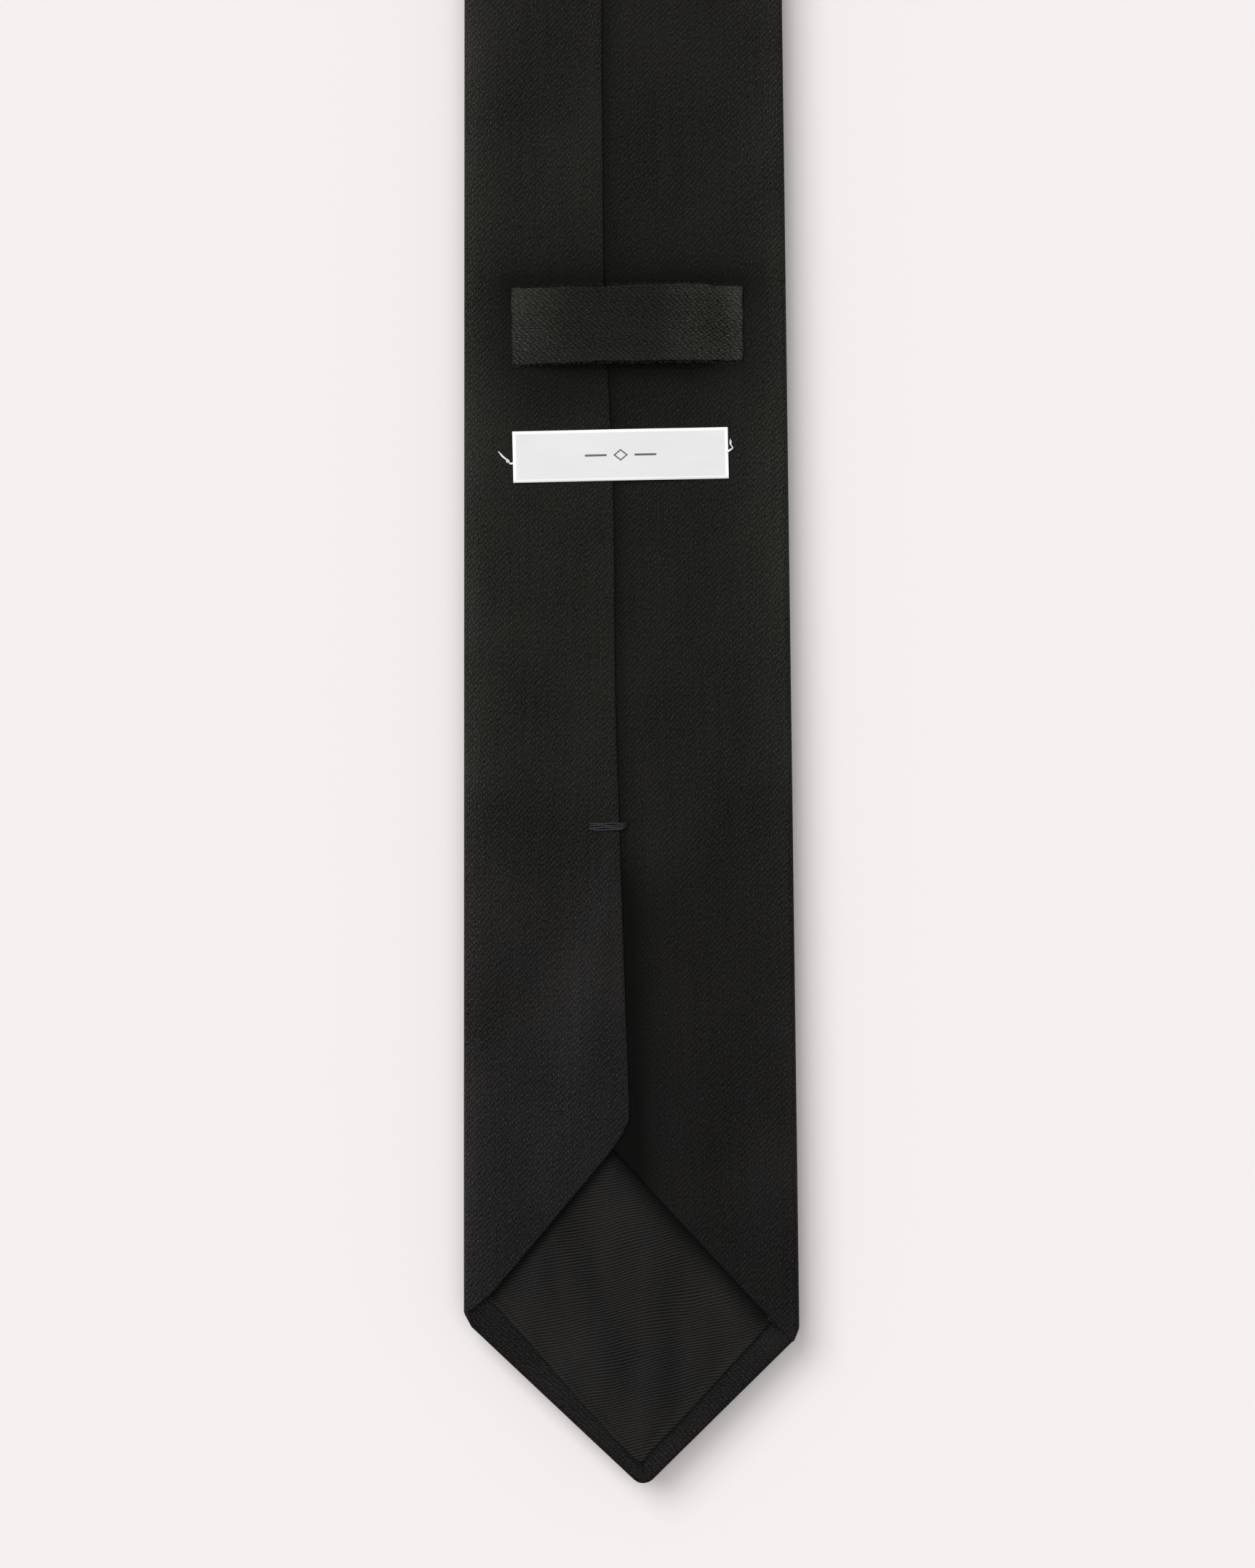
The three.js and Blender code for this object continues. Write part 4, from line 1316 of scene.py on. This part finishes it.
# The label's ends are turned under: a level strip, half a circle, and a short strip below.
def labelPiece():
    half = label["length"] / 2 - label["roll"]
    top = np.linspace(-half, half, label["columns"])
    bow = np.linspace(0, np.pi, 7)[1:]
    back = np.linspace(0, label["under"], 6)[1:]
    run = np.concatenate([
        -half - np.pi * label["roll"] - back[::-1],
        -half - bow[::-1] * label["roll"],
        top,
        half + bow * label["roll"],
        half + np.pi * label["roll"] + back,
    ])
    x = np.concatenate([
        -half + back[::-1], -half - label["roll"] * np.sin(bow[::-1]), top,
        half + label["roll"] * np.sin(bow), half - back,
    ])
    below = 1 + 0 * back
    turned = 1 - np.cos(bow)
    drop = np.concatenate([2 * below, turned[::-1], 0 * top, turned, 2 * below]) * label["roll"]
    x, y = np.broadcast_arrays(x, np.linspace(-1, 1, 17)[:, None] * label["height"] / 2)
    worldX, worldY = turnedPlace(x, y, labelCentre, label["turn"])
    cockle = label["cockle"] * np.sin(x / 5 + 1) + label["endCockle"] * bell((np.abs(x) - half) / 3)
    cockle = cockle * (y / 6) ** 2
    z = labelGround(worldX, worldY) + 2 * label["roll"] + 0.12 - drop + cockle
    grid = np.stack([worldX, worldY, z], -1)
    return sheetPiece("labelPatch", grid, label["thick"], np.stack([run + 0 * y, y], -1), labelSatin)[0]


labelPatch = labelPiece()


# A line through stops, rounded by averaging it over a fifth of its length.
def roundedLine(stops, share):
    known = np.linspace(0, 1, len(stops))
    tried = np.clip(share[:, None] + np.linspace(-0.1, 0.1, 5), 0, 1)
    return [np.interp(tried, known, [point[axis] for point in stops]).mean(-1) for axis in (0, 1)]


labelThreadRadius = 0.15


# Thread tails: strands that run close together, and one more that winds back on itself as a knot.
def labelThreadPiece(name, run, spreads, knot):
    share = np.linspace(0, 1, 25)
    x, y = roundedLine(run, share)
    fan = np.array(spreads)[:, None] * (0.5 + 1.6 * smooth(share * 2 - 1.1))
    knotX, knotY = roundedLine(knot, share)
    localX = np.concatenate([x - fan * 0.6, knotX[None]])
    localY = np.concatenate([y + fan, knotY[None]])
    worldX, worldY = turnedPlace(localX, localY, labelCentre, label["turn"])
    rise = np.concatenate([0.12 * np.sin(share * 5) + 0 * fan, 0.2 + 0.12 * np.sin(share * 9)[None]])
    z = labelGround(worldX, worldY) + 0.3 + rise
    return strandPiece(name, np.stack([worldX, worldY, z], -1), labelThreadRadius, whiteThread, 6)


labelThreadLeft = labelThreadPiece(
    "labelThreadLeft", [(-25.0, -1.2), (-26.3, -1.7), (-27.0, -0.6), (-27.8, 0.0), (-28.9, 1.1)],
    [-0.15, 0.12, 0.3], [(-26.1, -1.9), (-27.1, -0.5), (-26.3, -0.9), (-27.3, -1.3), (-26.8, -0.2)],
)
labelThreadRight = labelThreadPiece(
    "labelThreadRight", [(25.0, 0.2), (26.1, 0.7), (26.9, 1.1), (26.1, 2.0), (26.4, 3.3)],
    [-0.1, 0.1], [(25.2, 0.0), (25.9, 0.4), (26.4, 0.8), (26.8, 1.3)],
)
print("label made")

# Who stands for what, and what moves with what.
firstHinge = {
    "start": (0, firstFoldY / 1000, bladeLow[2] / 1000),
    "end": (0, firstFoldY / 1000, (2 * firstFoldZ - bladeLow[2]) / 1000),
}
secondHinge = {
    "start": (0, secondFoldY / 1000, (secondFoldZ + bendInside) / 1000),
    "end": (0, secondFoldY / 1000, (secondFoldZ - bendInside) / 1000),
}

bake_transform(bladeCloth)
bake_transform(bladeWool)
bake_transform(neckCloth)
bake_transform(neckWool)

riders = {
    "blade": [
        bladeTipping, bladeSlipStitch, bladeBarTack, bladeTackTuft, keeperLoop, loopFuzz,
        loopStitchLeft, loopStitchRight, labelPatch, labelThreadLeft, labelThreadRight,
    ],
    "neck": [neckSlipStitch, bladeJoiningStitch],
    "tail": [tailCloth, tailTipping, tailWool, tailSlipStitch, tailJoiningStitch, tailBarTack],
}
for body, pieces in riders.items():
    for piece in pieces:
        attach(piece, body)

standIns = [
    (bladeCloth, "satin", ["blade_shell", "front_fold_shell", "blade_shell_upper"]),
    (neckCloth, "satin", ["neck_shell", "tail_fold_shell", "neck_shell_lower"]),
    (tailCloth, "satin", ["tail_shell"]),
    (keeperLoop, "satin", ["keeper_loop"]),
    (loopFuzz, "satin", []),
    (bladeTipping, "lining", ["blade_tipping"]),
    (tailTipping, "lining", ["tail_tipping"]),
    (bladeWool, "wool", ["blade_interlining", "front_fold_interlining"]),
    (neckWool, "wool", ["neck_interlining", "tail_fold_interlining"]),
    (tailWool, "wool", ["tail_interlining"]),
    (labelPatch, "label_satin", ["label"]),
    (labelThreadLeft, "white_thread", ["label_stitch_left"]),
    (labelThreadRight, "white_thread", ["label_stitch_right"]),
    (bladeBarTack, "dark_thread", ["blade_bar_tack"]),
    (bladeTackTuft, "dark_thread", []),
    (tailBarTack, "dark_thread", ["tail_bar_tack"]),
    (bladeSlipStitch, "dark_thread", ["blade_slip_stitch"]),
    (neckSlipStitch, "dark_thread", ["neck_slip_stitch"]),
    (tailSlipStitch, "dark_thread", ["tail_slip_stitch"]),
    (bladeJoiningStitch, "dark_thread", ["blade_joining_stitch"]),
    (tailJoiningStitch, "dark_thread", ["tail_joining_stitch"]),
    (loopStitchLeft, "dark_thread", ["loop_stitch_left"]),
    (loopStitchRight, "dark_thread", ["loop_stitch_right"]),
]
for piece, slotName, nodes in standIns:
    if nodes:
        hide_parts(*nodes)

# Floor, light and camera.
studio = {
    "floorHalf": 6.0,
    "floorLevel": -0.0003,
    "floorColour": (0.800, 0.768, 0.760, 1),
    "worldLight": 0.26,
}
floorMesh = bpy.data.meshes.new("floor")
corners = [(-1, -1), (1, -1), (1, 1), (-1, 1)]
corners = [(x * studio["floorHalf"], y * studio["floorHalf"], studio["floorLevel"]) for x, y in corners]
floorMesh.from_pydata(corners, [], [(0, 1, 2, 3)])
floor = bpy.data.objects.new("floor", floorMesh)
bpy.context.scene.collection.objects.link(floor)
floorPaint = Paint("paleFloor", {"Specular IOR Level": 0.0})
floorMesh.materials.append(floorPaint.finish(studio["floorColour"], 1.0))

world = bpy.data.worlds.new("studio")
bpy.context.scene.world = world
world.use_nodes = True
background = world.node_tree.nodes["Background"]
background.inputs["Color"].default_value = (1, 1, 1, 1)
background.inputs["Strength"].default_value = studio["worldLight"]


# A distant soft box: its direction, the light it throws on the floor, and how wide it looks in degrees.
def softBox(name, direction, onFloor, spread):
    data = bpy.data.lights.new(name, "SUN")
    data.energy = onFloor / Vector(direction).normalized().z
    data.angle = np.radians(spread)
    box = bpy.data.objects.new(name, data)
    bpy.context.scene.collection.objects.link(box)
    box.rotation_euler = Vector(direction).to_track_quat("Z", "Y").to_euler()


softBox("softKey", (-0.52, 0.58, 1.0), 1.5, 40)
softBox("softFill", (0.05, 0.0, 1.0), 1.27, 45)

cameraPlace = {"x": -0.00015, "fromTip": 0.1681, "above": 1.0369, "lens": 100, "roll": -0.0063}
cameraData = bpy.data.cameras.new("camera")
cameraData.lens = cameraPlace["lens"]
cameraData.sensor_width = 36
cameraData.clip_start = 0.01
cameraData.clip_end = 20
camera = bpy.data.objects.new("camera", cameraData)
bpy.context.scene.collection.objects.link(camera)
camera.location = (
    cameraPlace["x"], tipY / 1000 + cameraPlace["fromTip"], bladeHigh[2] / 1000 + cameraPlace["above"],
)
camera.rotation_euler = (0, 0, cameraPlace["roll"])
bpy.context.scene.camera = camera
bpy.context.scene.view_settings.view_transform = "Standard"

print("scene made")
